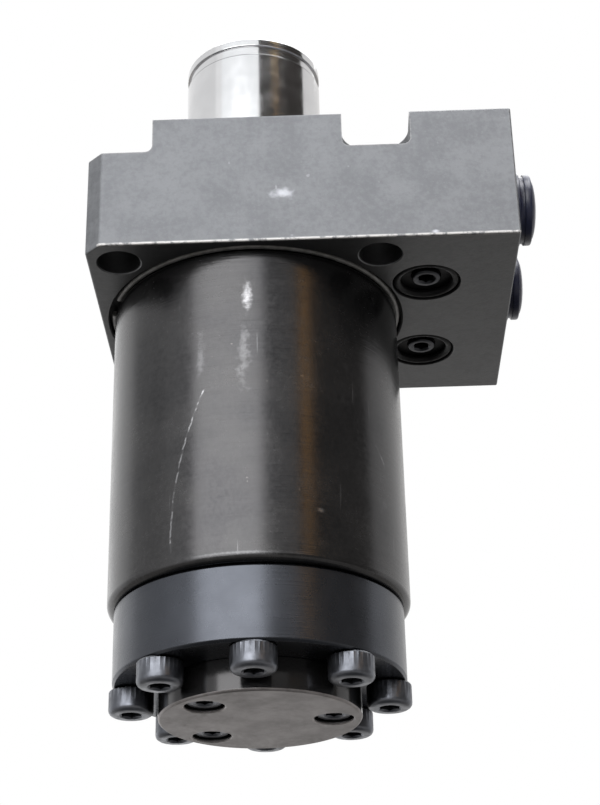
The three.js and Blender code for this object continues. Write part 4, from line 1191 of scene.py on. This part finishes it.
def plain_world():
    world = bpy.data.worlds.new("white_room")
    bpy.context.scene.world = world
    world.use_nodes = True
    nodes, links = world.node_tree.nodes, world.node_tree.links
    background = next(n for n in nodes if n.type == "BACKGROUND")
    path = nodes.new("ShaderNodeLightPath")
    seen = nodes.new("ShaderNodeMath")
    seen.operation = "MAXIMUM"
    links.new(path.outputs["Is Camera Ray"], seen.inputs[0])
    links.new(path.outputs["Is Glossy Ray"], seen.inputs[1])
    through = nodes.new("ShaderNodeMath")
    through.operation = "MAXIMUM"
    links.new(seen.outputs[0], through.inputs[0])
    links.new(path.outputs["Is Transmission Ray"], through.inputs[1])
    place = nodes.new("ShaderNodeTexCoord")
    parts = nodes.new("ShaderNodeSeparateXYZ")
    links.new(place.outputs["Generated"], parts.inputs[0])
    soft = nodes.new("ShaderNodeMapRange")
    soft.inputs["From Min"].default_value, soft.inputs["From Max"].default_value = -0.3, 0.3
    soft.inputs["To Min"].default_value, soft.inputs["To Max"].default_value = FROM_BELOW, FROM_ABOVE
    links.new(parts.outputs["Z"], soft.inputs["Value"])
    level = nodes.new("ShaderNodeMix")
    links.new(through.outputs[0], level.inputs[0])
    links.new(soft.outputs["Result"], level.inputs[2])
    level.inputs[3].default_value = 1
    links.new(level.outputs[0], background.inputs["Strength"])
    background.inputs["Color"].default_value = (1, 1, 1, 1)


plain_world()
bpy.context.scene.view_settings.view_transform = "Standard"
print("dull surfaces get", FROM_ABOVE, "of white from above and", FROM_BELOW, "from below")

# %% [markdown]
# ### The floor
# The floor is a pale disc that takes the clamp's shadow. It lies above the camera, so its paint is clear
# from below. A little glow of its own keeps the shadow light, and it is hidden from reflections and from
# bounced light, because the cards and the world do that work.

# %% Floor
FLOOR_RADIUS, FLOOR_GAP = 1.2, 0.0002  # the gap keeps it clear of the base disc


def floor():
    bm = bmesh.new()
    bmesh.ops.create_circle(bm, cap_ends=True, segments=96, radius=FLOOR_RADIUS)
    bmesh.ops.translate(bm, verts=bm.verts, vec=(0, 0, -FLOOR_GAP))
    made = to_object("floor", bm)
    if made.data.polygons[0].normal.z < 0:
        made.data.flip_normals()
    paint = bpy.data.materials.new("floor_paint")
    paint.use_nodes = True
    nodes, links = paint.node_tree.nodes, paint.node_tree.links
    shader = next(n for n in nodes if n.type == "BSDF_PRINCIPLED")
    output = next(n for n in nodes if n.type == "OUTPUT_MATERIAL")
    shader.inputs["Base Color"].default_value = (0.86, 0.86, 0.86, 1)
    shader.inputs["Roughness"].default_value = 0.9
    shader.inputs["Emission Color"].default_value = (1, 1, 1, 1)
    shader.inputs["Emission Strength"].default_value = 0.3
    clear = nodes.new("ShaderNodeBsdfTransparent")
    below = nodes.new("ShaderNodeNewGeometry")
    choose = nodes.new("ShaderNodeMixShader")
    links.new(below.outputs["Backfacing"], choose.inputs[0])
    links.new(shader.outputs[0], choose.inputs[1])
    links.new(clear.outputs[0], choose.inputs[2])
    links.new(choose.outputs[0], output.inputs["Surface"])
    made.data.materials.append(paint)
    made.visible_shadow = False
    made.visible_diffuse = False
    made.visible_glossy = False
    return made


floor()
print("floor:", 2 * FLOOR_RADIUS, "m across")

# %% [markdown]
# ### Lamps
# A lamp is an area light that the camera can't see. It is placed by azimuth and elevation and aimed at the
# clamp's middle, as a studio lamp is walked round its subject and raised.

# %% Helpers: lamps
def aim(ob, place, target):
    direction = Vector(target) - Vector(place)
    ob.matrix_world = Matrix.Translation(place) @ direction.to_track_quat("-Z", "Y").to_matrix().to_4x4()


MID_HEIGHT = 0.06  # of the object, in metres


def around_object(azimuth, elevation, distance):
    """A place seen from the object: azimuth 0 is the front, positive to the right, in degrees."""
    a, e = math.radians(azimuth), math.radians(elevation)
    way = Vector((math.sin(a) * math.cos(e), -math.cos(a) * math.cos(e), math.sin(e)))
    return way * distance + Vector((0, 0, MID_HEIGHT))


WATTS = 4  # for each square metre of a lamp, at a strength of 1


def soft_lamp(name, azimuth, elevation, distance, width, height, strength):
    light = bpy.data.lights.new(name, "AREA")
    light.shape, light.size, light.size_y = "RECTANGLE", width, height
    light.energy = WATTS * width * height * strength
    lamp = bpy.data.objects.new(name, light)
    bpy.context.scene.collection.objects.link(lamp)
    aim(lamp, around_object(azimuth, elevation, distance), (0, 0, MID_HEIGHT))
    lamp.visible_camera = False
    return lamp


print("lamps stand round a point", MID_HEIGHT, "m up")

# %% [markdown]
# ### Cards
# A card is a glowing strip of a drum round the clamp, or a disc under it, that reflections alone can see. A
# studio hangs real cards round polished metal for the same reason. More lamps could draw the same bands,
# but they would also light the dull surfaces and wash out the shadow.

# %% Helpers: cards
def only_reflected(made, color, strength):
    """Makes a glowing card that nothing but a reflection can see."""
    paint = bpy.data.materials.new(made.name + "_paint")
    paint.use_nodes = True
    nodes, links = paint.node_tree.nodes, paint.node_tree.links
    glow = nodes.new("ShaderNodeEmission")
    glow.inputs["Color"].default_value = (*color, 1)
    glow.inputs["Strength"].default_value = strength
    links.new(glow.outputs[0], next(n for n in nodes if n.type == "OUTPUT_MATERIAL").inputs["Surface"])
    made.data.materials.append(paint)
    made.visible_camera = made.visible_diffuse = made.visible_shadow = made.visible_transmission = False


def card(name, start, end, low, high, distance, color, strength):
    """Part of a drum round the object, between two azimuths and two heights."""
    bm = bmesh.new()
    a = math.radians(start)
    foot = bm.verts.new((math.sin(a) * distance, -math.cos(a) * distance, low))
    head = bm.verts.new((math.sin(a) * distance, -math.cos(a) * distance, high))
    bm.edges.new((foot, head))
    bmesh.ops.spin(
        bm, geom=bm.verts[:] + bm.edges[:], cent=(0, 0, 0), axis=(0, 0, 1),
        angle=math.radians(end - start), steps=24,
    )
    only_reflected(to_object(name, bm), color, strength)


def card_below(name, radius, depth, color, strength):
    bm = bmesh.new()
    bmesh.ops.create_circle(bm, cap_ends=True, segments=48, radius=radius)
    bmesh.ops.translate(bm, verts=bm.verts, vec=(0, 0, -depth))
    only_reflected(to_object(name, bm), color, strength)


print("cards are hidden from the camera, from shadows and from bounced light")

# %% [markdown]
# ### The light for this clamp
# The window lamp at the front left makes the bright band on the barrel. A second one above it lights the
# top faces and is kept out of reflections, or the chrome would burn out. The overhead lamp and the one
# behind light the top and the back. Of the cards, the dark ones come first, then grey and warm, then the
# pale sides.

# %% Light the clamp
# Where each lamp stands (azimuth and elevation in degrees, distance in metres), its size and its strength.
soft_lamp("window", -20, 17, 0.9, 0.82, 0.62, 2.7)
soft_lamp("window_top", -20, 50, 0.95, 0.70, 0.55, 1.4).visible_glossy = False
soft_lamp("overhead", 35, 64, 0.9, 0.6, 0.5, 5.0)
soft_lamp("back_lamp", 165, 62, 1.1, 0.8, 0.8, 1.8)
# From azimuth to azimuth, from height to height, the distance, the colour and the strength of each card.
card("dark_card", 10, 98, -1.3, 1.22, 1.68, (1, 0.94, 0.88), 0.16)
card("dark_card_top", 10, 98, 1.22, 2.6, 1.68, (1, 0.92, 0.85), 0.04)
card("grey_card", 10, 34, 0.4, 0.84, 1.2, (1, 1, 1), 0.85)
card("warm_card", 37, 44, 0.49, 0.86, 1.2, (1, 0.55, 0.2), 2.4)
card("warm_spot", 34, 48, 1.13, 1.19, 1.2, (1, 0.7, 0.32), 2.4)
card("pale_card", -54, 12, 0.60, 1.7, 0.8, (0.97, 0.99, 1), 1.36)
card("pale_card_side", -66, -54, 0.60, 1.7, 0.8, (1, 1, 1), 1.18)
card("side_card_left", -108, -72, -0.4, 0.85, 1.3, (1, 1, 1), 0.7)
card("back_card_left", -178, -112, -0.9, 0.85, 1.3, (1, 1, 1), 1.25)
card("side_card_right", 98, 178, -0.9, 1.9, 1.3, (1, 0.99, 0.98), 0.9)
card_below("far_card_below", 1.6, 0.5, (1, 0.965, 0.92), 0.46)
card_below("near_card_below", 0.3, 0.35, (1, 1, 1), 0.12)
